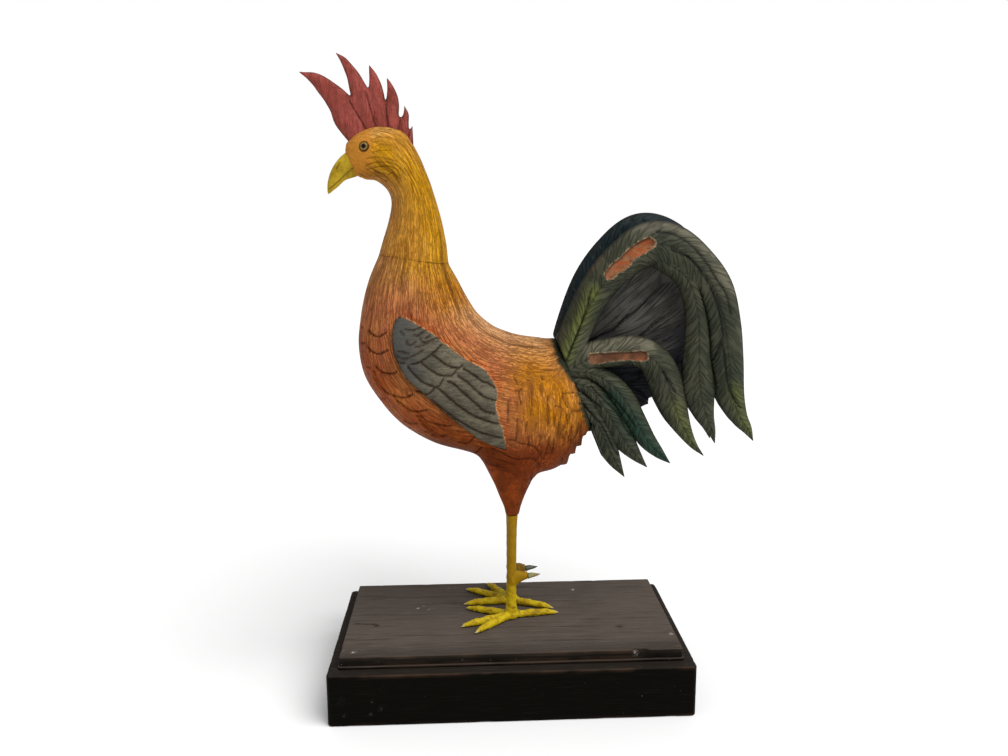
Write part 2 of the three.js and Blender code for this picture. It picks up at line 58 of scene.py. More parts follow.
def plank(length, depth, bottom, top, corner, arris, step):
    """A board's skin: six grids, one a face, over a plain box. Seen from above, the square round each
    corner becomes a circle round it: a point keeps its larger distance from the corner's middle as its
    radius. The eased edge between side and face is made the same way from the distances in from the side
    and down from the face."""
    height = top - bottom
    spans = [(length / 2, corner), (depth / 2, corner), (height / 2, arris)]
    marks = [stations(half, ease, step) for half, ease in spans]
    skins, faces, start = [], [], 0
    for flat in range(3):
        u, v = [axis for axis in range(3) if axis != flat]
        grid_u, grid_v = np.meshgrid(marks[u], marks[v], indexing="ij")
        for side in (-1, 1):
            spots = np.zeros(grid_u.shape + (3,))
            spots[..., u], spots[..., v] = grid_u, grid_v
            spots[..., flat] = side * spans[flat][0]
            index = start + np.arange(grid_u.size).reshape(grid_u.shape)
            skins.append(spots.reshape(-1, 3))
            corners = [index[:-1, :-1], index[1:, :-1], index[1:, 1:], index[:-1, 1:]]
            faces.append(np.stack(corners, -1).reshape(-1, 4))
            start += grid_u.size
    box = np.vstack(skins)
    half = np.array([length / 2, depth / 2])
    middle = np.clip(box[:, :2], corner - half, half - corner)
    outward = box[:, :2] - middle
    round_ = np.hypot(*outward.T)
    square = np.abs(outward).max(1)
    outward /= np.maximum(round_, 1e-9)[:, None]
    rise = np.abs(box[:, 2]) - (height / 2 - arris)
    out, up = np.maximum(square - corner + arris, 0), np.maximum(rise, 0)
    ease = np.maximum(out, up) / np.maximum(np.hypot(out, up), 1e-9)
    square = np.where(out > 0, corner - arris + out * ease, square)
    level = np.where(up > 0, height / 2 - arris + up * ease, np.abs(box[:, 2])) * np.sign(box[:, 2])
    skin = np.column_stack([middle + outward * square[:, None], level + (bottom + top) / 2])
    _, first, welded = np.unique(np.round(skin, 4), axis=0, return_index=True, return_inverse=True)
    faces = welded.reshape(-1)[np.vstack(faces)]
    return skin[first], facing_out(skin[first], faces, (bottom + top) / 2)


def facing_out(points, faces, level):
    """Turns each face of a box-like skin so that its normal points away from the box's middle."""
    a, b, c = (points[faces[:, k]] for k in (0, 1, 3))
    inward = (np.cross(b - a, c - a) * (a + b + c - [0, 0, 3 * level])).sum(1) < 0
    faces[inward] = faces[inward][:, ::-1]
    return faces


def mottle(spots, size, seed):
    """Soft blotches from 0 to 1: random numbers on a lattice of cells of the given sizes, blended from one
    lattice point to the next by 3f squared - 2f cubed."""
    table = np.random.RandomState(seed).rand(32, 32, 32)
    place = spots / np.asarray(size, float)
    cell = np.floor(place).astype(int)
    share = place - cell
    share = share * share * (3 - 2 * share)
    total = 0
    for corner in np.ndindex(2, 2, 2):
        weight = np.where(corner, share, 1 - share).prod(1)
        total = total + weight * table[tuple(((cell + corner) % 32).T)]
    return total


def ramp(values, low, high):
    """0 below low, 1 above high, and a smooth S between."""
    share = np.clip((values - low) / (high - low), 0, 1)
    return share * share * (3 - 2 * share)


def carved(name, points, faces, crisp=40, marks=None):
    """Makes a mesh object from points in millimetres and arrays of quads or triangles. Marks are values
    kept at the points for the paint to read, one number or three each."""
    mesh = bpy.data.meshes.new(name)
    groups = faces if isinstance(faces, list) else [faces]
    corners = np.concatenate([group.ravel() for group in groups]).astype(np.int32)
    sizes = np.concatenate([np.full(len(group), group.shape[1]) for group in groups])
    mesh.vertices.add(len(points))
    mesh.vertices.foreach_set("co", (points * MM).astype(np.float32).ravel())
    mesh.loops.add(len(corners))
    mesh.loops.foreach_set("vertex_index", corners)
    mesh.polygons.add(len(sizes))
    mesh.polygons.foreach_set("loop_start", (np.cumsum(sizes) - sizes).astype(np.int32))
    mesh.update(calc_edges=True)
    mesh.shade_smooth()
    mesh.set_sharp_from_angle(angle=math.radians(crisp))
    for mark, values in (marks or {}).items():
        kind = "FLOAT" if values.ndim == 1 else "FLOAT_VECTOR"
        layer = mesh.attributes.new(mark, kind, "POINT")
        layer.data.foreach_set("value" if values.ndim == 1 else "vector", values.astype(np.float32).ravel())
    piece = bpy.data.objects.new(name, mesh)
    bpy.context.scene.collection.objects.link(piece)
    return piece


class Field:
    """A value, colour or vector in a paint's recipe. Arithmetic on a value adds Math nodes, and node() adds
    any other node."""

    def __init__(self, recipe, socket):
        self.recipe, self.socket = recipe, socket

    def node(self, kind, settings=None, inputs=None, out=0):
        """A new node of a kind, with its settings first and then the values or links of its sockets."""
        node = self.recipe.nodes.new(kind)
        for setting, value in (settings or {}).items():
            setattr(node, setting, value)
        for key, value in (inputs or {}).items():
            if isinstance(value, Field):
                self.recipe.links.new(value.socket, node.inputs[key])
            else:
                node.inputs[key].default_value = value
        return Field(self.recipe, node.outputs[out])

    def maths(self, operation, first, second=0.0):
        """One step of arithmetic on values."""
        return self.node("ShaderNodeMath", {"operation": operation}, {0: first, 1: second})

    def __add__(self, other):
        return self.maths("ADD", self, other)

    def __sub__(self, other):
        return self.maths("SUBTRACT", self, other)

    def __rsub__(self, other):
        return self.maths("SUBTRACT", other, self)

    def __mul__(self, other):
        return self.maths("MULTIPLY", self, other)

    __radd__, __rmul__ = __add__, __mul__

    def most(self, other):
        """The larger of two values."""
        return self.maths("MAXIMUM", self, other)

    def within(self, low, high):
        """0 below low, 1 above high, and a smooth S between; turned round where low is above high."""
        ends = {"From Min": low, "From Max": high, "Value": self}
        return self.node("ShaderNodeMapRange", {"interpolation_type": "SMOOTHSTEP"}, ends)

    def crease(self, width):
        """1 where a noise passes its middle value, dying away on both sides: fine wandering lines."""
        return self.maths("ABSOLUTE", self - 0.5).within(width, width * 0.25)

    def mark(self, name, out=2):
        """A value kept at the mesh's points; out=1 gives three numbers as a vector."""
        return self.node("ShaderNodeAttribute", {"attribute_name": name}, {}, out)

    def stretched(self, x, y, z):
        """The place on the piece, with each direction multiplied, so that a pattern on it is drawn out."""
        return self.node("ShaderNodeVectorMath", {"operation": "MULTIPLY"}, {0: self, 1: (x, y, z)})

    def blotch(self, place, scale, detail=2.0, rough=0.5, warp=0.0):
        """Noise from about 0.25 to 0.75 at the place."""
        inputs = {"Vector": place, "Scale": scale, "Detail": detail, "Roughness": rough, "Distortion": warp}
        return self.node("ShaderNodeTexNoise", {}, inputs, 0)

    def over(self, share, colour):
        """This colour with another laid over it by a share."""
        colour = colour if isinstance(colour, Field) else linear(colour)
        return self.node("ShaderNodeMix", {"data_type": "RGBA"}, {0: share, 6: self, 7: colour}, 2)


def linear(colour):
    """A paint's colour as the eye reads it, 0 to 255, turned into the shader's linear light. It is taken down
    because lamp, surround and white floor together give upright faces a fifth more light than one."""
    share = np.array(colour[:3]) / 255
    return (*(0.83 * np.where(share > 0.04045, ((share + 0.055) / 1.055) ** 2.4, share / 12.92)), 1.0)


def paint(name, **constants):
    """A new material. Gives it, its place in object coordinates as the start of a recipe, and a way to
    finish it from a colour, a roughness and a height for the bump."""
    material = bpy.data.materials.new(name)
    material.use_nodes = True
    recipe = material.node_tree
    shader = recipe.nodes["Principled BSDF"]
    for socket, value in constants.items():
        shader.inputs[socket.replace("_", " ")].default_value = value
    place = Field(recipe, recipe.nodes.new("ShaderNodeTexCoord").outputs["Object"])

    def finish(colour, roughness, height, depth):
        """Joins the paint's colour, roughness and bump, whose depth is in metres, to the shader."""
        bump = place.node("ShaderNodeBump", {}, {"Strength": 1.0, "Distance": depth, "Height": height})
        for socket, value in (("Base Color", colour), ("Roughness", roughness), ("Normal", bump)):
            if isinstance(value, Field):
                recipe.links.new(value.socket, shader.inputs[socket])
            else:
                shader.inputs[socket].default_value = value

    return material, place, finish


BLOCK = {"length": 384, "depth": 209, "bottom": 0, "top": 56, "corner": 5, "arris": 1.6, "step": 2.6}


def knocked(points, box, seed):
    """Wear along a board's edges: within a few millimetres of two faces at once, the point is drawn towards
    the board's middle by a blotchy depth. Along the grain the knocks are longer than across it."""
    half = np.array([box["length"] / 2, box["depth"] / 2, (box["top"] - box["bottom"]) / 2])
    middle = np.array([0, 0, (box["top"] + box["bottom"]) / 2])
    inset = half - np.abs(points - middle)
    near = np.sort(inset, axis=1)[:, 1]
    edge = 1 - ramp(near, 0.4, 2.6)
    depth = edge * (0.1 + 0.6 * ramp(mottle(points, (14, 9, 6), seed), 0.6, 0.95))
    outward = (points - middle) / half
    outward = np.sign(outward) * np.abs(outward) ** 8
    outward /= np.linalg.norm(outward, axis=1)[:, None] + 1e-9
    grain = 0.12 * mottle(points, (60, 2.6, 2.6), seed + 1) + 0.06 * mottle(points, (25, 6, 6), seed + 2)
    return points - outward * (depth + grain)[:, None], edge


block_points, block_faces = plank(**BLOCK)
block_points, block_edge = knocked(block_points, BLOCK, 3)
# the saw's marks on the left end stand as low upright ridges
end_grain = ramp(-block_points[:, 0], 189, 191) * mottle(block_points, (50, 2.2, 40), 7)
block_points[:, 0] += 0.5 * end_grain


def black_paint(name, specks):
    """Old black paint on softwood: drawn along the grain, with a brown-grey bloom on what faces up, partly
    dust and partly a painted sheen of the light that upper faces catch, bare brown wood on knocked edges,
    and white specks of another paint."""
    material, place, finish = paint(name, Specular_IOR_Level=0.03)
    grain = place.blotch(place.stretched(3, 60, 60), 4, 4, 0.65)
    fine = place.blotch(place.stretched(8, 300, 300), 3, 3, 0.6)
    cloud = place.blotch(place, 14, 3, 0.6)
    spots = place.blotch(place, 420, 1, 0.4).within(0.775, 0.81)
    dust_and_sheen = place.mark("dust_and_sheen")
    colour = place.over(1.0, (7, 6, 3)).over(fine.within(0.52, 0.7) * 0.5, (26, 22, 18))
    # the bloom on upward faces is partly dust and partly painted sheen: upper faces are drawn lighter for the
    # light they catch
    colour = colour.over(dust_and_sheen * (0.72 + 0.5 * cloud), (89, 80, 73))
    colour = colour.over(grain.within(0.5, 0.7) * dust_and_sheen * 0.5, (42, 36, 32))
    colour = colour.over(fine.within(0.54, 0.7) * dust_and_sheen * 0.55, (122, 113, 103))
    colour = colour.over(place.mark("worn") * cloud.within(0.4, 0.6), (92, 68, 52))
    colour = colour.over(spots * specks, (150, 145, 136)).over(place.mark("flaw"), (10, 8, 7))
    flecked = place.blotch(place, 560, 2, 0.6).within(0.5, 0.58)
    colour = colour.over(place.mark("speck") * flecked, (214, 208, 198))
    rough = 0.5 + 0.3 * dust_and_sheen + 0.2 * (grain - 0.5)
    finish(colour, rough, grain * 0.6 + fine * 0.4, 0.0006)
    return material


def blobs(points, spots, reach):
    """1 at any of the given places, dying away round it as the bell curve of the distance over the reach."""
    total = np.zeros(len(points))
    for spot in spots:
        total = np.maximum(total, np.exp(-(((points - spot) / reach) ** 2).sum(1)))
    return total


def dust_and_sheen_on(points, box):
    """How much dust and painted sheen a point of a board holds: all of it on the upper face, less towards the
    edges.
    """
    return ramp(points[:, 2], box["top"] - 1.2, box["top"] - 0.2)


FRONT_SPECKS = [(-145, -104, 27), (-137, -104, 19), (-147, -104, 13), (-174, -104, 13), (-176, -104, 30)]
block = carved("plinth_plank", block_points, block_faces, marks={
    "dust_and_sheen": dust_and_sheen_on(block_points, BLOCK) * 0.2,
    "worn": block_edge * 0.5 * mottle(block_points, (12, 8, 8), 5),
    "speck": blobs(block_points, FRONT_SPECKS, (1.8, 4, 1.6)) * 0.06,
    "flaw": end_grain * 0.5,
})
block.data.materials.append(black_paint("black_plank_paint", 0.25))
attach(block, "root")
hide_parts("plinth_block")

# The plinth's upper board: thinner, planed, the same black paint, with a narrow bead round its foot. Its
# front edge is chipped at the right, and it has a knot, a check and a nail hole.

BOARD = {"length": 360, "depth": 179, "bottom": 59.3, "top": 69, "corner": 2.2, "arris": 0.8, "step": 2.2}
BEAD = {
    "length": 363.2, "depth": 182.2, "bottom": 56.3, "top": 59.1, "corner": 3.6, "arris": 0.9, "step": 3.2,
}


def both(*skins):
    """Sets several skins side by side as one: each one's faces count on from the points before it."""
    starts = np.cumsum([0] + [len(points) for points, _ in skins[:-1]])
    points = np.vstack([points for points, _ in skins])
    return points, np.vstack([faces + at for (_, faces), at in zip(skins, starts)])


board_points, board_faces = plank(**BOARD)
board_points, board_edge = knocked(board_points, BOARD, 11)
chip = blobs(board_points, [(131, -89.5, 69), (138, -89.5, 69.5)], (4.5, 3.5, 4))
board_points -= chip[:, None] * [0, -2.2, 1.6]
bead_points, bead_faces = plank(**BEAD)
FOOT = {**BOARD, "bottom": 58.9, "top": 59.4, "length": 357, "depth": 176, "arris": 0.2}
foot_points, foot_faces = plank(**FOOT)
top_points, top_faces = both(
    (board_points, board_faces), (bead_points, bead_faces), (foot_points, foot_faces))
rest = np.zeros(len(top_points) - len(board_points))
# the board's top holds less of the dust and painted sheen near its front edge, so it reads darker there
board_dust_and_sheen = dust_and_sheen_on(board_points, BOARD).clip(0.13, 1) * (1 - 0.4 * ramp(-board_points[:, 1], 55, 88))
board = carved("plinth_top", top_points, top_faces, marks={
    "dust_and_sheen": np.concatenate([board_dust_and_sheen, dust_and_sheen_on(bead_points, BEAD) * 0.4, rest[:len(foot_points)]]),
    "worn": np.concatenate([board_edge * mottle(board_points, (16, 8, 8), 15) * 0.5, rest + 0.2]),
    "speck": np.concatenate([
        blobs(board_points, [(-97, 27, 69), (-104, 22, 69), (-90, 20, 69), (-176, -75, 69), (-66, 76, 69)],
              (2.6, 2, 4)) * ramp(mottle(board_points, (2, 2, 9), 21), 0.5, 0.8)
        + blobs(board_points, [(82, 63, 69), (-166, -79, 69), (175, -56, 69), (130, -89, 68.5)],
                (1.9, 1.9, 4)),
        rest,
    ]),
    "flaw": np.concatenate([
        blobs(board_points, [(x, -14 - 0.08 * (x + 170), 69) for x in range(-172, -150, 3)], (2, 1.3, 4))
        + blobs(board_points, [(-148, -19, 69)], (2.4, 2.4, 4))
        + 0.7 * blobs(board_points, [(122, -36, 69)], (4, 3, 4)),
        rest,
    ]).clip(0, 1),
})
board.data.materials.append(black_paint("black_board_paint", 0.5))
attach(board, "root")
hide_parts("plinth_board")

# The bird's body: one block with breast, back, rump, both thighs and both wings, carved with gouge and V
# tool and painted in thin oils. The head is glued on at its neck, and the tail stands against its rear end.

# the bird's lengths are measured from its own mid-plane, at the level of the plinth's top
BIRD = np.array([0.0, 11.0, 69.0])
GAP = 0.3
BODY_SECTIONS = [
    [-61, 399, -135, 409, 31],
    [-54, 385.5, -147.5, 379, 37],
    [-46, 370.5, -156, 345, 46],
    [-39, 357.5, -159.5, 312, 56],
    [-32, 346.5, -154, 280, 65],
    [-22, 337, -138, 252.5, 71],
    [-11, 329.5, -115, 226.5, 74],
    [1, 324.5, -83, 206.5, 75],
    [12, 321.5, -47, 195, 73],
    [23, 319.5, -8, 182, 68],
    [34, 318, 28, 168, 60],
    [44, 317, 61, 175, 50],
    [53, 317.5, 94.5, 214, 38],
]
THIGH_SECTIONS = [
    [-44, 56, 245, 26, 30],
    [-40, 52, 223, 30, 30],
    [-34, 46, 201, 29, 29],
    [-25, 36, 180, 23, 25],
    [-16.5, 26.5, 161, 16.5, 22],
    [-9.5, 19, 145, 11.5, 20],
    [-4, 14, 132, 8.2, 19],
    [-2.2, 12, 123, 6.8, 19],
]
RUMP_STAIR = [
    [66, 168], [68.6, 178], [70.6, 185.6], [76.6, 186.4], [77.8, 194.6], [83.6, 195.6], [84.6, 205.8],
    [88.6, 207.8],
    [90, 211.6], [96, 212.5],
]
WING_LOWER = [
    [-5, 208], [-20, 215], [-31, 222], [-41, 231], [-61, 248], [-81, 266], [-98, 281], [-104, 287],
    [-109, 295],
    [-113, 303], [-116, 311], [-117.5, 320], [-118, 330], [-117, 338], [-114.5, 344], [-111, 347],
]
WING_UPPER = [
    [-111, 347], [-105, 346], [-99, 343], [-86, 335], [-73, 327], [-69, 322], [-63, 319], [-50, 308],
    [-43, 302],
    [-36, 300], [-30, 297], [-24, 293], [-20, 287], [-16, 281], [-13, 275],
]
WING_REAR = [
    [-13, 275], [-13, 264], [-15, 260], [-14, 253], [-11, 246], [-12, 242], [-10, 238], [-7, 234],
    [-7, 228], [-6, 224],
    [-5, 218], [-3, 212], [-5, 208],
]
WING_RELIEF = 4.2


def curve(rows, count):
    """Rows of numbers spread evenly along a curve: on each stretch the cubic through its two rows that
    leaves each with half the difference of the rows on either side as its slope."""
    rows = np.asarray(rows, float)
    t = np.linspace(0, len(rows) - 1, count)
    ends = np.vstack([2 * rows[:1] - rows[1:2], rows, 2 * rows[-1:] - rows[-2:-1]])
    k = np.clip(t.astype(int), 0, len(rows) - 2)
    f = (t - k)[:, None]
    before, here, after, beyond = (ends[k + i] for i in range(4))
    leave, arrive = (after - before) / 2, (beyond - here) / 2
    square = 3 * (after - here) - 2 * leave - arrive
    cube = 2 * (here - after) + leave + arrive
    return ((cube * f + square) * f + leave) * f + here


def ovals(rows, angles, power, sag):
    """Rings across the bird between a back point and a front point: cosine along the line that joins them,
    sine across it. The power squares each ring a little, and the sag moves its widest place forward."""
    back, front, half_width = rows[:, 0:2], rows[:, 2:4], rows[:, 4]
    middle, half = (back + front) / 2, (back - front) / 2
    along = np.sign(np.cos(angles)) * np.abs(np.cos(angles)) ** power
    across = np.sign(np.sin(angles)) * np.abs(np.sin(angles)) ** power * (1 - sag * np.cos(angles))
    places = middle[:, None] + half[:, None] * along[None, :, None]
    return np.stack([places[..., 0], half_width[:, None] * across, places[..., 1]], -1)


def tube(rings):
    """A closed skin over rings of points: quads from ring to ring, and a fan of triangles on each end
    ring's middle. The signed volume tells which way it faces."""
    rows, columns, _ = rings.shape
    index = np.arange(rows * columns).reshape(rows, columns)
    after = np.roll(index, -1, axis=1)
    quads = np.stack([index[:-1], after[:-1], after[1:], index[1:]], -1).reshape(-1, 4)
    first, last = np.full(columns, rows * columns), np.full(columns, rows * columns + 1)
    fans = np.vstack([np.stack([after[0], index[0], first], -1), np.stack([index[-1], after[-1], last], -1)])
    points = np.vstack([rings.reshape(-1, 3), rings[[0, -1]].mean(1)])
    a, b, c = (points[quads[:, k]] for k in range(3))
    if (a * np.cross(b, c)).sum() < 0:
        quads, fans = quads[:, ::-1], fans[:, ::-1]
    return points, quads, fans


def backed_off(rings, distance):
    """Moves the first ring into its own piece by a distance, square to its plane."""
    ring = rings[0]
    third = len(ring) // 3
    normal = np.cross(ring[third] - ring[0], ring[2 * third] - ring[0])
    normal /= np.linalg.norm(normal)
    rings[0] += normal * np.sign(normal @ (rings[1, 0] - ring[0])) * distance
    return rings


def fused(skins, grain):
    """Overlapping closed skins made one skin of even small facets, as if carved from one block: each is set
    in one mesh, and Blender's voxel remesh draws the surface round all of them."""
    at, parts, tris = 0, [], []
    quads = []
    for points, squares, fans in skins:
        parts.append(points)
        quads.append(squares + at)
        tris.append(fans + at)
        at += len(points)
    rough = carved("rough", np.vstack(parts), [np.vstack(quads), np.vstack(tris)])
    remesh = rough.modifiers.new("block", "REMESH")
    remesh.mode, remesh.voxel_size, remesh.adaptivity = "VOXEL", grain * MM, 0
    mesh = rough.evaluated_get(bpy.context.evaluated_depsgraph_get()).to_mesh()
    points = np.empty(len(mesh.vertices) * 3, np.float32)
    mesh.vertices.foreach_get("co", points)
    corners = np.empty(len(mesh.loops), np.int32)
    mesh.loops.foreach_get("vertex_index", corners)
    bpy.data.objects.remove(rough)
    return points.reshape(-1, 3).astype(float) / MM, corners.reshape(-1, 4)


def smoothed(points, quads, share, rounds):
    """Moves each point a share of the way to the mean of its neighbours, so many times."""
    here, there = np.hstack([quads.T.ravel(), quads.T.ravel()]), np.hstack([
        np.roll(quads, 1, axis=1).T.ravel(), np.roll(quads, -1, axis=1).T.ravel()])
    degree = np.bincount(here, minlength=len(points))
    for _ in range(rounds):
        mean = np.column_stack([np.bincount(here, points[there, axis], len(points)) for axis in range(3)])
        points = points + share[:, None] * (mean / degree[:, None] - points)
    return points


def normals_of(points, quads):
    """The direction that each point faces: the sum of the normals of the quads round it."""
    a, b, c, d = (points[quads[:, k]] for k in range(4))
    normal = np.cross(c - a, d - b)
    corners = quads.T.ravel()
    total = np.column_stack([np.bincount(corners, np.tile(normal[:, k], 4), len(points)) for k in range(3)])
    return total / (np.linalg.norm(total, axis=1)[:, None] + 1e-12)


def feet(spots, line):
    """The place on a line of points that lies closest to each spot, found stretch by stretch."""
    best, place = np.full(len(spots), 1e9), spots.copy()
    for start, end in zip(line[:-1], line[1:]):
        step = end - start
        share = np.clip(((spots - start) @ step) / (step @ step), 0, 1)
        there = start + share[:, None] * step
        gap = np.hypot(*(spots - there).T)
        closer = gap < best
        best[closer], place[closer] = gap[closer], there[closer]
    return place


def away(spots, line):
    """How far each spot is from a line of points."""
    return np.hypot(*(spots - feet(spots, np.asarray(line, float))).T)


def drawn_onto(spots, lines, reach=1.6):
    """Moves the spots beside each line square to it: the closest onto it, and those out to the reach less
    and less, so that a cut runs along a row of points and stays clean."""
    for line in lines:
        row = curve(line, 6 * len(line)) if len(line) > 2 else np.asarray(line, float)
        close = ((spots > row.min(0) - reach) & (spots < row.max(0) + reach)).all(1)
        place = feet(spots[close], row)
        gap = np.hypot(*(spots[close] - place).T)
        spots[close] = place + (spots[close] - place) * ramp(gap, reach * 0.37, reach)[:, None]
    return spots


def nearest(spots, lines, smooth=6):
    """The least distance from each spot to any of several lines, each drawn as a smooth curve."""
    best = np.full(len(spots), 1e9)
    for line in lines:
        row = np.asarray(line, float)
        drawn = curve(row, (len(row) - 1) * smooth + 1) if len(row) > 2 else row
        inside = ((spots > drawn.min(0) - 12) & (spots < drawn.max(0) + 12)).all(1)
        best[inside] = np.minimum(best[inside], away(spots[inside], drawn))
    return best


def inside(spots, outline):
    """Whether each spot lies within an outline: a ray to the right crosses it an odd number of times."""
    odd = np.zeros(len(spots), bool)
    for (x0, z0), (x1, z1) in zip(outline, np.roll(outline, -1, axis=0)):
        if z0 != z1:
            crosses = (spots[:, 1] >= z0) != (spots[:, 1] >= z1)
            odd ^= crosses & (spots[:, 0] < x0 + (spots[:, 1] - z0) * (x1 - x0) / (z1 - z0))
    return odd


def brushed(spots, lines, reach):
    """Strokes of a soft brush: 1 on the lines, and a bell curve of distance over reach beside them."""
    best = np.full(len(spots), 1e9)
    for line in lines:
        best = np.minimum(best, away(spots, np.asarray(line, float)))
    return np.exp(-(best / reach) ** 2)


def v_cut(distance, width, depth):
    """A V tool's cut at a distance from its middle line, where it is deepest."""
    return depth * ramp(distance, width * 0.62, 0)


angles = np.linspace(0, 2 * np.pi, 181)[:-1]
torso_rows = curve(BODY_SECTIONS, 240)
torso_rings = ovals(torso_rows, angles, 0.97, 0.1)
seam_point, seam_out = torso_rings[0].mean(0), np.cross(torso_rings[0, 60] - torso_rings[0, 0], [0, 1, 0])
seam_out *= np.sign(seam_out[2]) / np.linalg.norm(seam_out)
torso = tube(backed_off(torso_rings, -3.0))


def thigh(side):
    """A thigh's skin: level ovals down to the rod of the leg, each with its own middle and width."""
    rows = curve(THIGH_SECTIONS, 70)
    turn = np.linspace(0, 2 * np.pi, 73)[:-1]
    front, rear, level, half_width, out = rows.T[:, :, None]
    x = (front + rear) / 2 + (rear - front) / 2 * np.cos(turn)
    return tube(np.stack([x, side * out + half_width * np.sin(turn), level + 0 * turn], -1))


skin, quads = fused([torso, thigh(-1), thigh(1)], 1.445)

# where a thigh runs into the belly the carver's gouge has left a soft hollow
junction = (1 - ramp(np.abs(skin[:, 2] - 190), 22, 52)) * (1 - ramp(np.abs(skin[:, 0] - 6), 50, 78))
skin = smoothed(skin, quads, 0.6 * junction, 90)
skin = smoothed(skin, quads, np.full(len(skin), 0.5), 2)
# the rump's lower edge is chopped away in steps: what hangs there is first let down a little, then cut off
outline = np.interp(skin[:, 0], torso_rows[-60:, 2], torso_rows[-60:, 3])
skin[:, 2] -= 4.5 * ramp(skin[:, 0], 58, 68) * (1 - ramp(skin[:, 2] - outline, 2, 16))
# along lines from the camera's place to the stair on the mid-plane, so that the near flank hides none of it
STAIR_VIEW = {"x": -41.4, "distance": 925.7, "z": 443}
reach = STAIR_VIEW["distance"] / (STAIR_VIEW["distance"] - np.abs(skin[:, 1]))
sawn_x = STAIR_VIEW["x"] + (skin[:, 0] - STAIR_VIEW["x"]) * reach
sawn_level = np.interp(sawn_x, *np.transpose(RUMP_STAIR), left=-1e3) - STAIR_VIEW["z"]
skin[:, 2] += np.maximum(sawn_level - (skin[:, 2] - STAIR_VIEW["z"]) * reach, 0) / reach


def flow_on(skin, rows):
    """Where a point lies on the loft: how far along it, and at what angle round it from the back's line.
    Each section's line is a straight edge from back to front, so the point lies where it passes from one
    side of that edge to the other, between two sections."""
    back, front = rows[:, 0:2], rows[:, 2:4]
    edge = front - back
    length = np.linalg.norm(edge, axis=1)
    x, z = skin[:, 0, None], skin[:, 2, None]
    side = ((x - back[:, 0]) * edge[:, 1] - (z - back[:, 1]) * edge[:, 0]) / length
    if side[:, -1].mean() < side[:, 0].mean():
        side = -side
    behind = (side > 0).argmax(1)
    behind = np.where((side > 0).any(1), behind, len(rows) - 1)
    k = np.clip(behind, 1, len(rows) - 1)
    here = np.take_along_axis(side, k[:, None], 1)[:, 0]
    last = np.take_along_axis(side, k[:, None] - 1, 1)[:, 0]
    t = k - 1 + np.clip(last / (last - here + 1e-9), 0, 1)
    low = np.clip(t.astype(int), 0, len(rows) - 2)
    f = (t - low)[:, None]
    b, e = back[low] * (1 - f) + back[low + 1] * f, edge[low] * (1 - f) + edge[low + 1] * f
    share = ((skin[:, [0, 2]] - b) * e).sum(1) / (e ** 2).sum(1)
    return t / (len(rows) - 1), np.arccos(np.clip(1 - 2 * share, -1, 1)) / np.pi


QUILLS = [
    [[-47, 295], [-37, 289], [-29, 283], [-23, 281], [-14, 276]],
    [[-53, 289], [-42, 281], [-31, 271], [-25, 267], [-13, 263]],
    [[-63, 284], [-58, 282], [-52, 277], [-39, 265], [-32, 259], [-27, 254], [-16, 250]],
    [[-74, 278], [-69, 275], [-57, 264], [-44, 254], [-30, 246], [-16, 240], [-11, 239]],
    [[-83, 267], [-78, 266], [-71, 260], [-56, 248], [-38, 236], [-23, 228], [-9, 223]],
]
WING_SCALES = [
    [[-98, 301], [-93, 302], [-89, 304], [-83, 307], [-78, 311], [-74, 314], [-69, 319]],
    [[-77, 309], [-70, 304], [-65, 300], [-57, 297], [-52, 296], [-48, 299]],
    [[-89, 303], [-86, 300], [-76, 293], [-70, 290], [-61, 289], [-58, 290], [-54, 295]],
    [[-102, 299], [-99, 295], [-89, 285], [-79, 280], [-75, 279], [-71, 280], [-67, 287]],
    [[-96, 274], [-92, 273], [-86, 272], [-82, 272], [-76, 277]],
]
SHOULDER_SCALES = [
    [[-109, 332], [-106, 329]], [[-104, 334], [-99, 333], [-92, 335], [-89, 337]],
    [[-96, 329], [-92, 328], [-89, 330], [-84, 334]], [[-85, 325], [-83, 326], [-79, 329]],
    [[-90, 325], [-88, 322], [-83, 322], [-71, 326]], [[-103, 323], [-102, 320], [-98, 319], [-94, 322]],
    [[-94, 317], [-90, 318], [-82, 320]], [[-111, 313], [-106, 312], [-101, 311]],
    [[-112, 309], [-109, 307], [-104, 306], [-94, 310], [-87, 314]], [[-113, 304], [-109, 302],
     [-105, 302]],
]
BREAST_SCALES = [
    [[-144, 332], [-141, 329], [-134, 327], [-131, 328], [-125, 332]],
    [[-145, 315], [-142, 312], [-137, 310], [-132, 310], [-124, 314]],
    [[-137, 297], [-133, 293], [-128, 291], [-119, 291], [-115, 293]],
    [[-139, 291], [-138, 284], [-134, 277], [-128, 271], [-122, 268], [-108, 266], [-99, 270]],
    [[-116, 262], [-112, 260], [-104, 254], [-99, 252], [-93, 252], [-85, 254]],
    [[-91, 247], [-87, 242], [-82, 240], [-68, 237], [-60, 237]],
    [[-95, 247], [-91, 240], [-86, 234], [-80, 230]],
    [[-80, 225], [-73, 223], [-65, 226]],
    [[-53, 217], [-49, 215], [-43, 216], [-36, 223]],
    [[-34, 202], [-31, 206], [-29, 210]],
]
SMALL_CUTS = [
    [[-154, 335], [-152, 334]], [[-153, 318], [-149, 319]], [[-147, 294], [-144, 294]], [[-135, 259],
     [-128, 262]],
    [[-110, 237], [-107, 236], [-101, 235], [-96, 237]], [[-105, 226], [-95, 219]], [[-87, 227],
     [-83, 227]],
    [[5, 286], [7, 282], [9, 278]], [[6, 272], [10, 271], [10, 266], [12, 258]], [[10, 271], [13, 273]],
    [[38, 290], [47, 288], [53, 289]], [[34, 283], [36, 280]], [[58, 264], [65, 264], [74, 263]],
    [[67, 247], [71, 244], [76, 244]], [[57, 265], [58, 258], [62, 249]], [[49, 252], [56, 250]],
    [[-1, 220], [5, 218], [11, 215], [24, 211], [29, 207], [32, 201], [30, 195], [28, 192]],
    [[-18, 208], [-10, 205], [4, 197], [10, 196], [22, 196], [30, 193]],
]
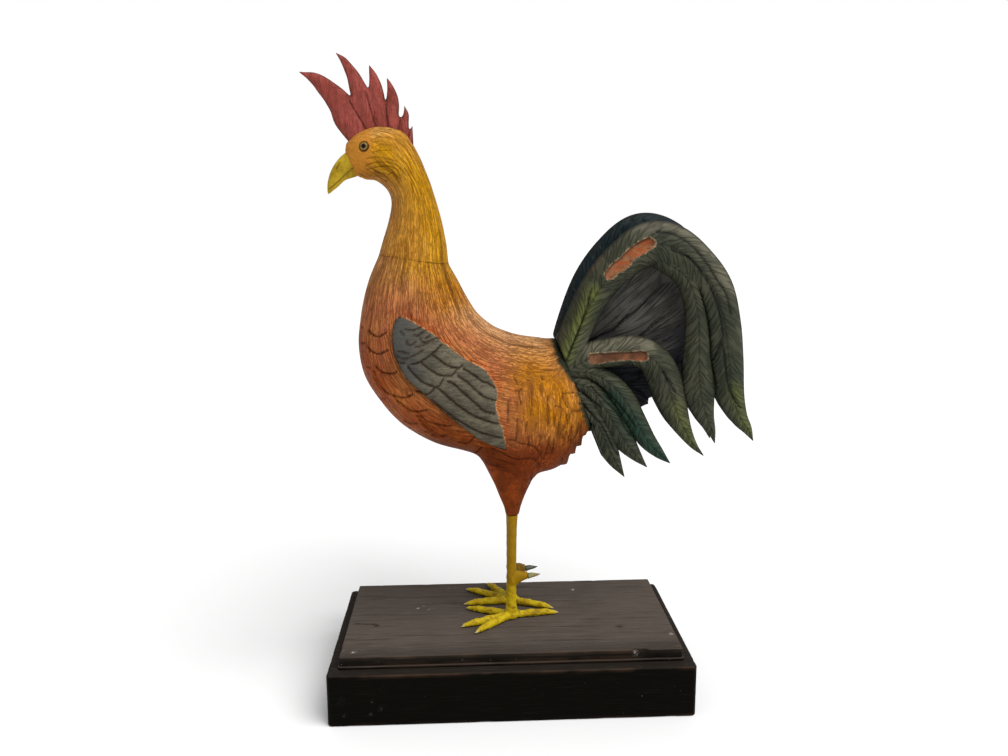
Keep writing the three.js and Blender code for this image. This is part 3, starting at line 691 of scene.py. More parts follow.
CHOPS = [
    [[9, 241], [8, 232], [7, 219]], [[42, 219], [41, 210], [37, 193]], [[48, 216], [48, 208], [44, 198]],
    [[31, 222], [33, 220]], [[67, 213], [67, 206], [61, 195]], [[58, 230], [57, 216]], [[62, 241],
     [61, 232]],
    [[8, 242], [8, 225]], [[40, 215], [44, 206], [40, 197]], [[48, 215], [46, 200]], [[18, 238], [17, 229]],
    [[68, 245], [59, 226]], [[28, 236], [27, 224]], [[61, 223], [58, 207]], [[68, 228], [64, 211]],
    [[76, 230], [74, 217]], [[53, 235], [51, 221]], [[-1, 262], [-2, 240]], [[20, 222], [20, 212]],
    [[34, 222], [31, 210]], [[57, 247], [54, 238]], [[72, 215], [66, 203]], [[24, 262], [22, 246]],
]
near = skin[:, 1] < 0
facing = np.abs(normals_of(skin, quads)[:, 1]) > 0.3
wing_line = np.array(WING_LOWER[:-1] + WING_UPPER[:-1] + WING_REAR, float)
for which, lines in ((facing, QUILLS + [WING_LOWER, WING_UPPER]),
                     (facing & near, WING_SCALES + SHOULDER_SCALES + BREAST_SCALES + SMALL_CUTS + CHOPS)):
    skin[np.ix_(which, [0, 2])] = drawn_onto(skin[np.ix_(which, [0, 2])], lines)
spots = skin[:, [0, 2]]
on_wing = inside(spots, wing_line)
wing_edge = away(spots, wing_line) * np.where(on_wing, 1, -1)
wing_edge[np.abs(skin[:, 1]) < 12] = -50
wing_foot = away(spots, np.array(WING_LOWER, float))
wing_foot[np.abs(skin[:, 1]) < 12] = 50
along, around = flow_on(skin, curve(BODY_SECTIONS, 97))

quill_gap = nearest(spots, QUILLS)
quill_gap[~on_wing] = 50
scale_gap = nearest(spots, WING_SCALES)
shoulder_gap = nearest(spots, SHOULDER_SCALES)
breast_gap = nearest(spots, BREAST_SCALES)
small_gap = nearest(spots, SMALL_CUTS)
chop_gap = nearest(spots, CHOPS)
for gap in (scale_gap, shoulder_gap, breast_gap, small_gap, chop_gap):
    gap[~near] = 50

# hackles: long thin strokes of the V tool that follow the neck down over the breast and back
HACKLES_ROUND = 34
hackle_place = np.column_stack([around * HACKLES_ROUND, along * 5, np.sign(skin[:, 1]) * 0.5 + 5])
hackle = ramp(mottle(hackle_place, (1, 1, 1), 31), 0.62, 0.86)
chisel = ramp(mottle(skin, (3.4, 30, 17), 33), 0.62, 0.86)
rump = ramp(skin[:, 0], -12, 22) * (1 - ramp(skin[:, 2], 262, 305))
faded = 0.35 + 0.65 * ramp(skin[:, 2], 270, 320)
stroke = np.where(on_wing, 0, (1 - rump) * hackle * faded + rump * chisel)
ripple = mottle(hackle_place, (2.2, 2.5, 1), 35) - 0.5

face_out = normals_of(skin, quads)
lift = WING_RELIEF * ramp(wing_edge, -0.8, 1.6) * (1 - 0.75 * ramp(skin[:, 0], -40, -6))
lift += 1.1 * ramp(wing_edge, -9, -1) * (wing_edge < 0) * -ramp(-skin[:, 0], 0, 40)
quill_round = np.where(on_wing, 1.1 * ramp(np.minimum(quill_gap, scale_gap), 0, 7), 0)
lift += quill_round - v_cut(quill_gap, 2.8, 1.6) - v_cut(scale_gap, 2.6, 1.5) - v_cut(shoulder_gap, 2.2, 0.8)
lift -= v_cut(breast_gap, 2.4, 1.3) + v_cut(small_gap, 2.0, 0.9) + v_cut(chop_gap, 2.4, 1.2)
# each breast scale's lower side is left a little proud, and the wood beyond falls away from it
lift += 0.9 * np.exp(-((breast_gap - 2.6) / 1.8) ** 2)
lift += 0.9 * ripple * ~on_wing - 0.5 * stroke
lift += 0.7 * (mottle(skin, (16, 16, 16), 37) - 0.5)
skin = skin + face_out * lift[:, None]

# the joints with the neck and the tail stay flat
skin -= seam_out * np.maximum((skin - seam_point) @ seam_out + 0.1, 0)[:, None]
top_x, top_z, foot_x, foot_z, _ = BODY_SECTIONS[-1]
plane_point = np.array([(top_x + foot_x) / 2, 0, (top_z + foot_z) / 2])
plane_out = np.array([top_z - foot_z, 0, foot_x - top_x])
plane_out = plane_out / np.linalg.norm(plane_out)
skin -= plane_out * np.maximum((skin - plane_point) @ plane_out, 0)[:, None]

cut = np.maximum.reduce([
    0.9 * ramp(quill_gap, 1.2, 0.2), 0.85 * ramp(scale_gap, 1.2, 0.2), 0.75 * ramp(shoulder_gap, 1.0, 0.2),
    0.75 * ramp(breast_gap, 1.0, 0.2), 0.65 * ramp(small_gap, 1.0, 0.2), 0.6 * ramp(chop_gap, 1.1, 0.2),
    # a painted shadow along the raised wing's lower edge: dark just below it and fainter on it
    0.95 * ramp(wing_foot, 2.2, 0.6) * ~on_wing, 0.5 * ramp(wing_foot, 1.1, 0.3),
])
x, z = spots.T
thigh_paint = ramp(-z, -216 - 0.12 * x, -186 - 0.12 * x) * (1 - ramp(x + 0.3 * (z - 190), 46, 66))
rust = brushed(spots, [[[-140, 352], [-112, 354], [-70, 334], [-30, 312], [-4, 290], [4, 270], [2, 225]]], 19)
rust = np.maximum(rust, 0.9 * brushed(spots, [[[-90, 345], [-20, 300]], [[-128, 350], [-130, 310]]], 14))
mustard = brushed(spots, [[[-74, 420], [-70, 390], [-56, 372]]], 26)
mustard = np.maximum(mustard, brushed(spots, [[[24, 285], [50, 268], [70, 244]], [[30, 250], [60, 236]]], 24))
# orange paint on the breast and belly, laid on strongest along the breast's front edge, where it also stands
# as painted shade
breast_orange_and_shade = brushed(
    spots, [[[-164, 326], [-150, 300], [-128, 262], [-96, 240], [-50, 215], [0, 200], [70, 196]]], 31)
# dark red-brown paint along the underside, darkened further as painted shade under the belly
belly_red_and_shade = brushed(spots, [[[-80, 206], [-40, 195], [0, 184], [36, 178], [66, 184], [94, 212]]], 27)
# a pale painted highlight along the top of the back, where the light catches it
back_highlight = brushed(spots, [[[-44, 352], [-20, 336], [8, 326], [30, 320]]], 15)
halo = np.where(~on_wing, np.exp(-((wing_edge + 1.5) / 4.0) ** 2), 0) * ramp(wing_foot, 3, 10)
tail_line = [
    [50, 311], [52, 304], [54, 295], [57, 290], [63, 283], [68, 276], [71, 270], [74, 263], [76, 254],
    [78, 246],
    [81, 239], [84, 229], [88, 220],
]
green = ramp(x - np.interp(z, [p[1] for p in tail_line[::-1]], [p[0] for p in tail_line[::-1]])
             + 5 * (mottle(skin, (9, 9, 3), 39) - 0.5), -3.5, 2.5)
body = carved("carved_body", skin + BIRD, quads, crisp=60, marks={
    "wing": np.clip(wing_edge, -12, 12), "cut": cut, "stroke": stroke, "thigh": thigh_paint, "rust": rust,
    "mustard": mustard, "breast_orange_and_shade": breast_orange_and_shade, "halo": halo, "green": green * (z > 215), "belly_red_and_shade": belly_red_and_shade,
    "back_highlight": back_highlight,
    "collar": (1 - ramp((seam_point - skin) @ seam_out, 0, 32)) * (1 - ramp(around, 0.45, 0.8)),
    "flow": np.column_stack([around, along, skin[:, 1] * MM]),
    "quill": np.column_stack([skin[:, 0], skin[:, 2], 0 * x]) * MM, "rump": rump,
})


def neck_lines(place, flow):
    """Dirt in the hackles: long wandering lines, with finer and fainter ones between."""
    hackle = place.blotch(flow.stretched(50, 6, 20), 1, 2, 0.5, 0.1).crease(0.05)
    hair = place.blotch(flow.stretched(120, 18, 40), 1, 2, 0.6, 0.1).crease(0.055)
    return hackle.most(hair * 0.6)


def body_paint(name):
    """Thin oils over carved wood, wiped so that the wood's grain and dark dirt show in every cut: tan over
    the back and neck, rust round the wings, mustard on the rump, red-brown thighs, and grey-green wings.
    Light and shade are painted in too: a painted shadow under the wing's lower edge, a pale painted
    highlight along its upper edge and along the back's top, and painted shade down the breast's front and
    under the belly."""
    material, place, finish = paint(name, Specular_IOR_Level=0.06)
    rump = place.mark("rump")
    crackle = place.blotch(place.stretched(170, 170, 26), 1, 2, 0.6, 0.15).crease(0.07)
    fleck = place.blotch(place.stretched(360, 360, 70), 1, 2, 0.6).crease(0.06)
    line = neck_lines(place, place.mark("flow", 1)) * (1 - rump) + crackle.most(fleck * 0.7) * rump * 0.85
    cloud = place.blotch(place, 22, 4, 0.6)
    speck = place.blotch(place, 260, 3, 0.7)
    worn = place.blotch(place.stretched(70, 70, 26), 1, 4, 0.7).within(0.46, 0.66)
    cut, stroke = place.mark("cut"), place.mark("stroke")
    colour = place.over(1.0, (216, 150, 88)).over(cloud.within(0.42, 0.62), (196, 130, 72))
    # the breast's orange paint, deepest along its front edge as painted shade
    colour = colour.over(place.mark("breast_orange_and_shade") * 0.95, (168, 72, 20))
    # the pale painted highlight along the back's top
    colour = colour.over(place.mark("back_highlight") * 0.8, (244, 190, 134))
    colour = colour.over(place.mark("rust") * (0.5 + 0.6 * cloud), (188, 104, 66))
    colour = colour.over(place.mark("mustard") * (0.55 + cloud * 0.9), (204, 130, 20))
    colour = colour.over(place.mark("collar") * 0.9, (230, 164, 44))
    colour = colour.over(place.mark("halo") * 0.85 * speck.within(0.3, 0.6), (204, 96, 36))
    colour = colour.over(worn * 0.3, (216, 150, 74))
    # dark red-brown paint and painted shade along the underside
    colour = colour.over(place.mark("belly_red_and_shade") * 0.85, (110, 50, 6))
    colour = colour.over(place.mark("thigh") * 0.95, (124, 49, 13))
    colour = colour.over(place.mark("thigh") * cloud.within(0.46, 0.6) * 0.6, (166, 78, 28))
    colour = colour.over(speck.within(0.5, 0.7) * (0.3 + 0.4 * place.mark("thigh")), (96, 40, 16))
    colour = colour.over(line * 0.62, (88, 40, 16))
    colour = colour.over(stroke * 0.55, (76, 34, 10))
    colour = colour.over(place.mark("green"), (48, 52, 38))
    quill = place.mark("quill", 1)
    barb = place.blotch(quill.stretched(60, 330, 0), 1, 3, 0.6)
    scratch = place.blotch(quill.stretched(90, 420, 0), 1, 2, 0.6, 0.6).crease(0.05)
    wing = place.mark("wing") + (speck - 0.5) * 1.2
    grey = place.over(1.0, (118, 110, 92)).over(cloud.within(0.38, 0.6), (92, 87, 73))
    grey = grey.over(barb.within(0.48, 0.66) * 0.45, (54, 52, 42))
    grey = grey.over(barb.within(0.5, 0.34) * 0.35, (118, 110, 88))
    grey = grey.over(scratch * 0.4, (40, 38, 30))
    shoulder = quill.node("ShaderNodeSeparateXYZ", {}, {0: quill}, 0)
    grey = grey.over(shoulder.within(-0.07, -0.11) * 0.75, (68, 70, 70))
    colour = colour.over(wing.within(-0.5, 0.5), grey)
    # a thin pale painted highlight along the raised wing's upper and rear edges, where the light catches them
    rim = wing.within(-2.2, -0.6) * wing.within(0.8, 0.0) * place.mark("halo").within(0.2, 0.5)
    colour = colour.over(rim * speck.within(0.4, 0.58) * 0.7, (206, 166, 122))
    colour = colour.over(cut * 0.92, (44, 20, 10))
    rough = 0.55 + 0.25 * (cloud - 0.5) + 0.15 * cut + 0.12 * wing.within(-0.5, 0.5)
    height = 0.6 * speck - 0.7 * line * wing.within(0.5, -0.5) - 0.6 * stroke
    height = height - 0.5 * barb * wing.within(-0.5, 0.5)
    finish(colour, rough, height, 0.0014)
    return material


body.data.materials.append(body_paint("body_oils"))
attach(body, "root")
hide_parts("body")

# The head and neck: a second block, glued to the body at the fine seam across the neck's root, with the
# beak carved on it. Long hackle grooves run down the neck and short waved ones round the cheek.

HEAD_SECTIONS = [
    [-61, 399, -135, 409, 31],
    [-63.5, 423, -130.5, 423, 28],
    [-68, 445, -123.5, 444, 25],
    [-74, 468, -120, 463, 22.5],
    [-80, 486, -124, 476, 21.5],
    [-87, 504, -135, 485.5, 22],
    [-95, 521, -147, 487.5, 22],
    [-104, 534, -156, 492, 21],
    [-118, 539.5, -163, 500, 19.5],
    [-135, 540, -165.5, 509, 17],
    [-150, 535, -166, 516, 12],
    [-159, 529, -165, 523, 5],
]
BEAK_SECTIONS = [
    [-150, 507.5, 15.2, 11.5],
    [-165, 499.8, 12.3, 9],
    [-174, 492.5, 9, 6.5],
    [-180.5, 483, 6, 4],
    [-184.5, 475.5, 2.4, 1.6],
    [-186, 472.5, 0.3, 0.2],
]
EYE = {"x": -145, "z": 519, "radius": 4.6}
MOUTH = [[-184, 478], [-181, 480], [-168, 491], [-154, 501.5], [-149, 504]]
NOSTRIL = [[-171, 504], [-175, 498]]
CHEEK_WAVES = [
    [[-143, 507], [-133, 508], [-124, 507], [-111, 504]],
    [[-144, 500], [-133, 503], [-121, 503], [-111, 499], [-105, 492]],
    [[-143, 496], [-134, 498], [-122, 499], [-113, 496], [-109, 487]],
    [[-121, 490], [-116, 493], [-112, 487]],
    [[-133, 519], [-127, 521], [-117, 520]],
    [[-136, 513], [-127, 515], [-117, 515]],
    [[-113, 526], [-102, 517], [-96, 507]],
    [[-108, 531], [-98, 520]],
    [[-134, 491], [-127, 486], [-122, 485]],
    [[-150, 492], [-150, 487]],
    [[-138, 525], [-128, 529], [-118, 528]],
    [[-104, 497], [-98, 486], [-96, 474]],
    [[-108, 508], [-100, 498], [-94, 486]],
]

head_rows = curve(HEAD_SECTIONS, 420)
head_angles = np.linspace(0, 2 * np.pi, 201)[:-1]
head_rings = backed_off(ovals(head_rows, head_angles, 0.98, 0.0), GAP / 2)
step = np.linalg.norm(np.diff(head_rings, axis=0), axis=2).mean(1)
head_along = np.repeat(np.concatenate([[0], np.cumsum(step)]), len(head_angles))
head_around = np.tile(np.abs((head_angles + np.pi) % (2 * np.pi) - np.pi) / np.pi, len(head_rows))
head_skin, head_quads, head_fans = tube(head_rings)
head_along = np.append(head_along, [0, head_along[-1]])
head_around = np.append(head_around, [0.5, 0.5])
head_out = normals_of(head_skin, head_quads)
head_spots = head_skin[:, [0, 2]]
wave_gap = nearest(head_spots, CHEEK_WAVES)
eye_gap = np.hypot(*(head_spots - [EYE["x"], EYE["z"]]).T)
eye_gap[np.abs(head_skin[:, 1]) < 4] = 50
# the neck's strokes carry on from the body's; above the throat they turn into short waves round the cheek
neck = 1 - ramp(head_along, 105, 135)
head_layer = np.sign(head_skin[:, 1]) * 0.5 + 5
head_place = np.column_stack([head_around * HACKLES_ROUND, -head_along * 0.018, head_layer])
head_hackle = ramp(mottle(head_place, (1, 1, 1), 31), 0.62, 0.86)
wander = mottle(head_skin, (14, 14, 14), 43)[:, None] * [9, 0, 5]
ruffle = ramp(mottle(head_skin + wander, (9, 30, 2.3), 45), 0.6, 0.8)
bare_face = ramp(head_skin[:, 0], -134, -141)
head_stroke = (neck * head_hackle + (1 - neck) * ruffle * 0.7) * (1 - bare_face)
head_ends = ramp(head_along, 0, 3)
head_lift = 0.9 * (mottle(head_place, (2.2, 2.5, 1), 35) - 0.5)
head_lift = head_lift + 0.4 * (mottle(head_skin, (11, 11, 11), 49) - 0.5)
head_lift -= 0.5 * head_stroke + v_cut(wave_gap, 1.9, 0.7)
head_lift += 0.5 * np.exp(-((eye_gap - 6.6) / 1.5) ** 2) - 1.2 * ramp(eye_gap, 5.6, 4.2)
head_skin = head_skin + head_out * (head_lift * head_ends)[:, None]

beak_rows = curve(BEAK_SECTIONS, 90)
beak_turn = np.linspace(0, 2 * np.pi, 73)[:-1]
heading = np.gradient(beak_rows[:, :2], axis=0)
heading /= np.linalg.norm(heading, axis=1)[:, None]
# a beak is narrower along its upper ridge than along the mouth, so the width bulges below the middle
up = beak_rows[:, 2:3] * np.cos(beak_turn)
wide = beak_rows[:, 3:4] * np.sin(beak_turn) * (1 - 0.18 * np.cos(beak_turn))
beak_x, beak_z = beak_rows[:, 0:1] - heading[:, 1:2] * up, beak_rows[:, 1:2] + heading[:, 0:1] * up
beak_rings = np.stack([beak_x, wide, beak_z], -1)
beak_skin, beak_quads, beak_fans = tube(beak_rings)
beak_spots = beak_skin[:, [0, 2]]
mouth_gap, nostril_gap = nearest(beak_spots, [MOUTH]), nearest(beak_spots, [NOSTRIL])
beak_out = normals_of(beak_skin, beak_quads)
beak_lift = -v_cut(mouth_gap, 1.9, 1.3) - v_cut(nostril_gap, 1.8, 1.1)
beak_lift += 0.25 * (mottle(beak_skin, (5, 5, 5), 51) - 0.5)
beak_skin = beak_skin + beak_out * beak_lift[:, None]

at = len(head_skin)
head_marks = {
    "cut": np.concatenate([
        np.maximum(ramp(wave_gap, 0.9, 0.1) * 0.36, 0.55 * ramp(eye_gap, 5.8, 4.6)),
        np.maximum(0.8 * ramp(mouth_gap, 0.8, 0.2), 0.8 * ramp(nostril_gap, 0.8, 0.2)),
    ]),
    "stroke": np.concatenate([head_stroke * (0.35 + 0.65 * neck), 0 * mouth_gap]),
    "beak": np.concatenate([0 * wave_gap, 1 + 0 * mouth_gap]),
    "mustard": np.concatenate([
        np.maximum(brushed(head_spots, [[[-66, 400], [-72, 440], [-84, 470], [-92, 492]]], 17),
                   brushed(head_spots, [[[-128, 515], [-104, 505], [-92, 490]],
                                        [[-135, 500], [-110, 496]]], 12)),
        0 * mouth_gap,
    ]),
    "crown": np.concatenate([ramp(head_spots[:, 1] - 0.3 * head_spots[:, 0], 562, 574), 0 * mouth_gap]),
    "throat": np.concatenate([ramp(head_around, 0.55, 0.85) * (1 - bare_face), 0 * mouth_gap]),
    "flow": np.vstack([
        np.column_stack([head_around, -head_along * 0.0036, head_skin[:, 1] * 0.001]), 0 * beak_skin]),
    "cheek": np.concatenate([1 - neck, 0 * mouth_gap]),
    "face": np.concatenate([bare_face, 0 * mouth_gap]),
}
head = carved("carved_head", np.vstack([head_skin, beak_skin]) + BIRD,
              [np.vstack([head_quads, beak_quads + at]), np.vstack([head_fans, beak_fans + at])],
              crisp=60, marks=head_marks)


def head_paint(name):
    """The same oils: tan at the throat, mustard down the back of the neck, pinkish bare skin round the eye,
    and a yellow-green beak with dirt in the mouth's line."""
    material, place, finish = paint(name, Specular_IOR_Level=0.06)
    flow = place.mark("flow", 1)
    ruffle = place.blotch(flow.stretched(46, 17, 60), 1, 2, 0.6, 0.9).crease(0.08)
    cheek = place.mark("cheek")
    line = neck_lines(place, flow) * (1 - cheek) + ruffle * cheek * (0.8 - 0.5 * place.mark("face"))
    cloud = place.blotch(place, 26, 4, 0.6)
    speck = place.blotch(place, 300, 3, 0.7)
    worn = place.blotch(place.stretched(80, 80, 30), 1, 4, 0.7).within(0.46, 0.66)
    beak = place.mark("beak")
    colour = place.over(1.0, (232, 164, 60)).over(cloud.within(0.42, 0.62), (210, 142, 48))
    colour = colour.over(place.mark("mustard") * (0.6 + cloud * 0.6), (232, 167, 18))
    colour = colour.over(place.mark("throat") * 0.7, (206, 142, 78))
    colour = colour.over(place.mark("crown") * 0.8, (250, 188, 98))
    colour = colour.over(worn * 0.3, (240, 180, 76)).over(speck.within(0.5, 0.7) * 0.25, (146, 86, 26))
    colour = colour.over(place.mark("face") * 0.85, (208, 136, 48))
    colour = colour.over(line * 0.55, (110, 60, 12))
    colour = colour.over(place.mark("stroke") * 0.55, (96, 50, 12))
    horn = place.over(1.0, (206, 172, 48)).over(cloud.within(0.4, 0.6), (166, 134, 30))
    horn = horn.over(speck.within(0.5, 0.68) * 0.4, (122, 92, 22))
    colour = colour.over(beak, horn)
    colour = colour.over(place.mark("cut") * 0.9, (40, 22, 10))
    rough = 0.55 + 0.25 * (cloud - 0.5) + 0.15 * place.mark("cut")
    finish(colour, rough, 0.6 * speck - 0.7 * line * (1 - beak) - 0.6 * place.mark("stroke"), 0.0013)
    return material


head.data.materials.append(head_paint("head_oils"))
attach(head, "root")
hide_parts("head_neck")

# The comb: a thin board sawn to six points and set on the crown. Each point is thinned towards its tip, and
# V cuts run down from the notches between them.

SPIKES = [
    [[-153, 530, 11], [-162.5, 548, 14.5], [-169, 562, 13.4], [-179, 574, 10.8], [-193.5, 587, 6.8],
     [-211, 595, 0.3]],
    [[-137, 533, 9], [-144, 558, 9], [-150.5, 577, 9.5], [-157, 593.5, 6.3], [-165, 606, 3.8],
     [-173, 614, 0.3]],
    [[-127, 533, 8], [-131, 555, 8], [-132.5, 573, 8], [-134.5, 588, 5], [-139, 602, 0.3]],
    [[-115, 533, 7.5], [-117, 552, 7.5], [-116, 566, 6.8], [-117.5, 578, 4], [-121, 589, 0.3]],
    [[-106, 529, 6], [-104.5, 544, 5], [-102.5, 553, 3.2], [-104, 562, 0.3]],
    [[-100, 521, 4.5], [-98.5, 532, 3.2], [-96, 542, 0.3]],
]
COMB_WEB = [
    [-163, 526], [-174, 548], [-162, 567], [-142, 574], [-124, 562], [-108, 550], [-99.5, 537], [-96, 523],
    [-103, 513], [-130, 527], [-150, 519],
]
COMB_CUTS = [
    [[-160, 566], [-154, 555], [-147, 543], [-141, 530]],
    [[-143, 575], [-138, 556], [-134, 541], [-131, 533]],
    [[-123, 562], [-122, 549], [-121, 535]],
    [[-108, 550], [-110, 540], [-111, 531]],
    [[-99, 536], [-101, 528], [-104, 522]],
]


def blade(rows, profile, count, place):
    """A profile carried along a path: rows give the path's x and z, half the width and half the thickness,
    and each profile point is so far across the path and so far up from its middle. From that height and x,
    place gives where the point lies across the bird."""
    path = curve(rows, count)
    heading = np.gradient(path[:, :2], axis=0)
    heading /= np.linalg.norm(heading, axis=1)[:, None]
    across = profile[None, :, 0] * path[:, 2:3]
    x = path[:, 0:1] - heading[:, 1:2] * across
    z = path[:, 1:2] + heading[:, 0:1] * across
    return np.stack([x, place(profile[None, :, 1] * path[:, 3:4], x), z], -1)


def lens(count):
    """A flat oval with thin edges: cosine across, and the sine to the power 0.8 up."""
    turn = np.linspace(0, 2 * np.pi, count + 1)[:-1]
    return np.column_stack([-np.cos(turn), np.sign(np.sin(turn)) * np.abs(np.sin(turn)) ** 0.8])


def board(outline, half):
    """A thin sawn board: its outline at four levels from side to side, drawn in a little on both faces."""
    ring = curve(np.vstack([outline, outline[:1]]), len(outline) * 6 + 1)[:-1]
    middle = ring.mean(0)
    drawn = [(-half, 0.96), (-half * 0.7, 1), (half * 0.7, 1), (half, 0.96)]
    rings = [np.insert(middle + (ring - middle) * share, 1, y, axis=1) for y, share in drawn]
    return tube(np.array(rings))


comb_parts = [board(np.array(COMB_WEB, float), 4.2)]
for rows in SPIKES:
    thick = np.linspace(6.6, 2.0, len(rows))[:, None]
    comb_parts.append(tube(blade(np.hstack([rows, thick]), lens(24), 60, lambda up, x: up)))
comb_skin, comb_quads = fused(comb_parts, 0.75)
comb_skin = smoothed(comb_skin, comb_quads, np.full(len(comb_skin), 0.5), 4)
comb_spots = comb_skin[:, [0, 2]]
comb_gap = nearest(comb_spots, COMB_CUTS)
comb_out = normals_of(comb_skin, comb_quads)
faces_side = np.abs(comb_out[:, 1])
comb_lift = -v_cut(comb_gap, 2.2, 1.1) * faces_side + 0.6 * (mottle(comb_skin, (6, 6, 9), 61) - 0.5)
comb_skin = comb_skin + comb_out * (comb_lift - 0.25)[:, None]
comb = carved("carved_comb", comb_skin + BIRD, comb_quads, crisp=70, marks={
    "cut": 0.6 * ramp(comb_gap, 1.1, 0.2) * faces_side,
    "edge": 1 - ramp(faces_side, 0.5, 0.92),
})


def comb_paint(name):
    """Dull red paint, brushed thin, darker at the edges and the tips, with dirt in the cuts."""
    material, place, finish = paint(name, Specular_IOR_Level=0.12)
    cloud = place.blotch(place, 45, 4, 0.65)
    speck = place.blotch(place, 330, 3, 0.7)
    grain = place.blotch(place.stretched(170, 170, 40), 1, 2, 0.6, 0.5).crease(0.06)
    colour = place.over(1.0, (162, 78, 68)).over(cloud.within(0.4, 0.62), (142, 65, 54))
    colour = colour.over(speck.within(0.5, 0.7) * 0.3, (110, 48, 40)).over(grain * 0.2, (84, 38, 32))
    colour = colour.over(place.mark("edge") * 0.75, (58, 30, 26)).over(place.mark("cut"), (48, 20, 17))
    finish(colour, 0.6 + 0.25 * (cloud - 0.5), 0.6 * speck + 0.6 * cloud - 0.6 * grain, 0.0009)
    return material


comb.data.materials.append(comb_paint("comb_red"))
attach(comb, "root")
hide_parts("comb")

# The tail's middle board: a fan of broad feathers with round ends, carved on both faces and painted
# grey-black. It stands between the two clusters of sickle feathers.

FAN = [
    [[60, 295, 12, 6], [98, 338, 20, 7], [128, 371, 24, 7], [158, 405, 18, 6.5], [170, 418, 0.4, 0.4]],
    [[60, 295, 10, 6], [105, 318, 15, 6], [141, 335, 16, 6], [178, 366, 14, 6], [191, 377, 0.4, 0.4]],
    [[60, 291, 10, 6], [110, 301, 15, 5], [150, 318, 15, 5], [189, 340, 14, 5], [201, 348, 0.4, 0.4]],
    [[60, 285, 10, 6], [110, 288, 15, 6], [150, 293, 16, 6], [188, 309, 14, 5.5], [200, 317, 0.4, 0.4]],
    [[60, 281, 10, 6], [100, 275, 15, 5], [140, 271, 18, 5], [182, 281, 15, 5], [194, 286, 0.4, 0.4]],
    [[60, 278, 10, 6], [95, 268, 12, 6], [125, 259, 13, 6], [150, 247, 10, 5.5], [158, 242, 0.4, 0.4]],
]
FAN_BOARD = [
    [50, 313], [88, 363], [130, 403], [160, 411], [197, 360], [200, 330], [193, 291], [172, 261],
    [154, 248],
    [110, 254], [50, 278],
]


def butted(points):
    """Cuts a tail piece off flat against the body's rear end, by moving what lies past that plane onto it."""
    behind = (points - plane_point) @ plane_out - GAP
    return points - plane_out * np.minimum(behind, 0)[:, None]


def vane(rows, profile, count):
    """How far along a feather each point of its skin is, how far across from the shaft, and the share of
    its width: the first two in metres, for barbs drawn at a slant from the shaft."""
    path = curve(rows, count)
    step = np.linalg.norm(np.gradient(path[:, :2], axis=0), axis=1)
    along = np.repeat(np.cumsum(step)[:, None], len(profile), 1)
    across = profile[None, :, 0] * path[:, 2:3]
    share = across / np.maximum(path[:, 2:3], 1e-6)
    return np.stack([along * MM, across * MM, share], -1).reshape(-1, 3)


def feathered(feathers, profile, count, place, cuts):
    """Several feathers laid over each other in one piece, each with its barbs cut at a slant from the
    shaft, out and towards the tip: their number is the distance along less that across, times the slant."""
    skins, quads, fans, at = [], [], [], 0
    vanes = []
    slant = cuts["slant"]
    for rows in feathers:
        points, squares, ends = tube(blade(rows, profile, count, place))
        lay = np.vstack([vane(rows, profile, count), [[0, 0, 0], [0, 0, 0]]])
        spread = np.abs(lay[:, 1])
        barb = ramp(mottle(np.column_stack([spread - slant * lay[:, 0], lay[:, 0] + slant * spread,
                                            lay[:, 2] * 0.002]) / MM, (2.6, 22, 9), 71), 0.6, 0.85)
        shaft = np.exp(-(lay[:, 1] / MM / 0.9) ** 2)
        out = normals_of(points, squares)
        ease = ramp(np.abs(lay[:, 2]), 0.99, 0.8)
        points = points - out * ((0.12 * barb + cuts["shaft"] * shaft) * ease)[:, None]
        skins.append(points)
        vanes.append(np.column_stack([lay, barb]))
        quads.append(squares + at)
        fans.append(ends + at)
        at += len(points)
    lay = np.vstack(vanes)
    return butted(np.vstack(skins)), [np.vstack(quads), np.vstack(fans)], lay[:, :3], lay[:, 3]


FAN_CUTS = [
    [[90, 314], [116, 326], [129, 339], [140, 347], [155, 362], [167, 376]],
    [[146, 319], [153, 324], [164, 335], [176, 345], [190, 359]],
    [[172, 313], [182, 321], [193, 331]],
    [[133, 267], [145, 271], [150, 281]],
]
fan_skin, fan_faces, fan_lay, fan_barb = feathered(
    FAN, lens(56), 150, lambda up, x: up, {"shaft": 0.0, "slant": 0.12})
fan_skin[:, [0, 2]] = drawn_onto(fan_skin[:, [0, 2]], FAN_CUTS)
fan_gap = nearest(fan_skin[:, [0, 2]], FAN_CUTS)
fan_skin[:, 1] -= np.sign(fan_skin[:, 1]) * v_cut(fan_gap, 3, 1.4)
plate, plate_quads, plate_fans = board(np.array(FAN_BOARD, float), 3.5)
at = len(fan_skin)
fan_faces = [np.vstack([fan_faces[0], plate_quads + at]), np.vstack([fan_faces[1], plate_fans + at])]
fan_all = np.vstack([fan_skin, butted(plate)])
none = np.zeros(len(plate))
fan = carved("carved_fan", fan_all + BIRD, fan_faces, crisp=60, marks={
    "lay": np.vstack([fan_lay, np.column_stack([plate[:, 0] * MM, none + 0.01, none + 0.5])]),
    "barb": np.concatenate([fan_barb * 0.5, none]),
    "cut": np.concatenate([ramp(fan_gap, 2.4, 0.8), none]),
    "navy": ramp(fan_all[:, 0] - 0.4 * (fan_all[:, 2] - 300), 165, 200),
    # the fan darkened towards its root is painted shade in the hollow under the sickles' arch
    "night": ramp(-fan_all[:, 2], -298, -280), "root_shade": 0.5 * ramp(-fan_all[:, 0], -140, -95),
})


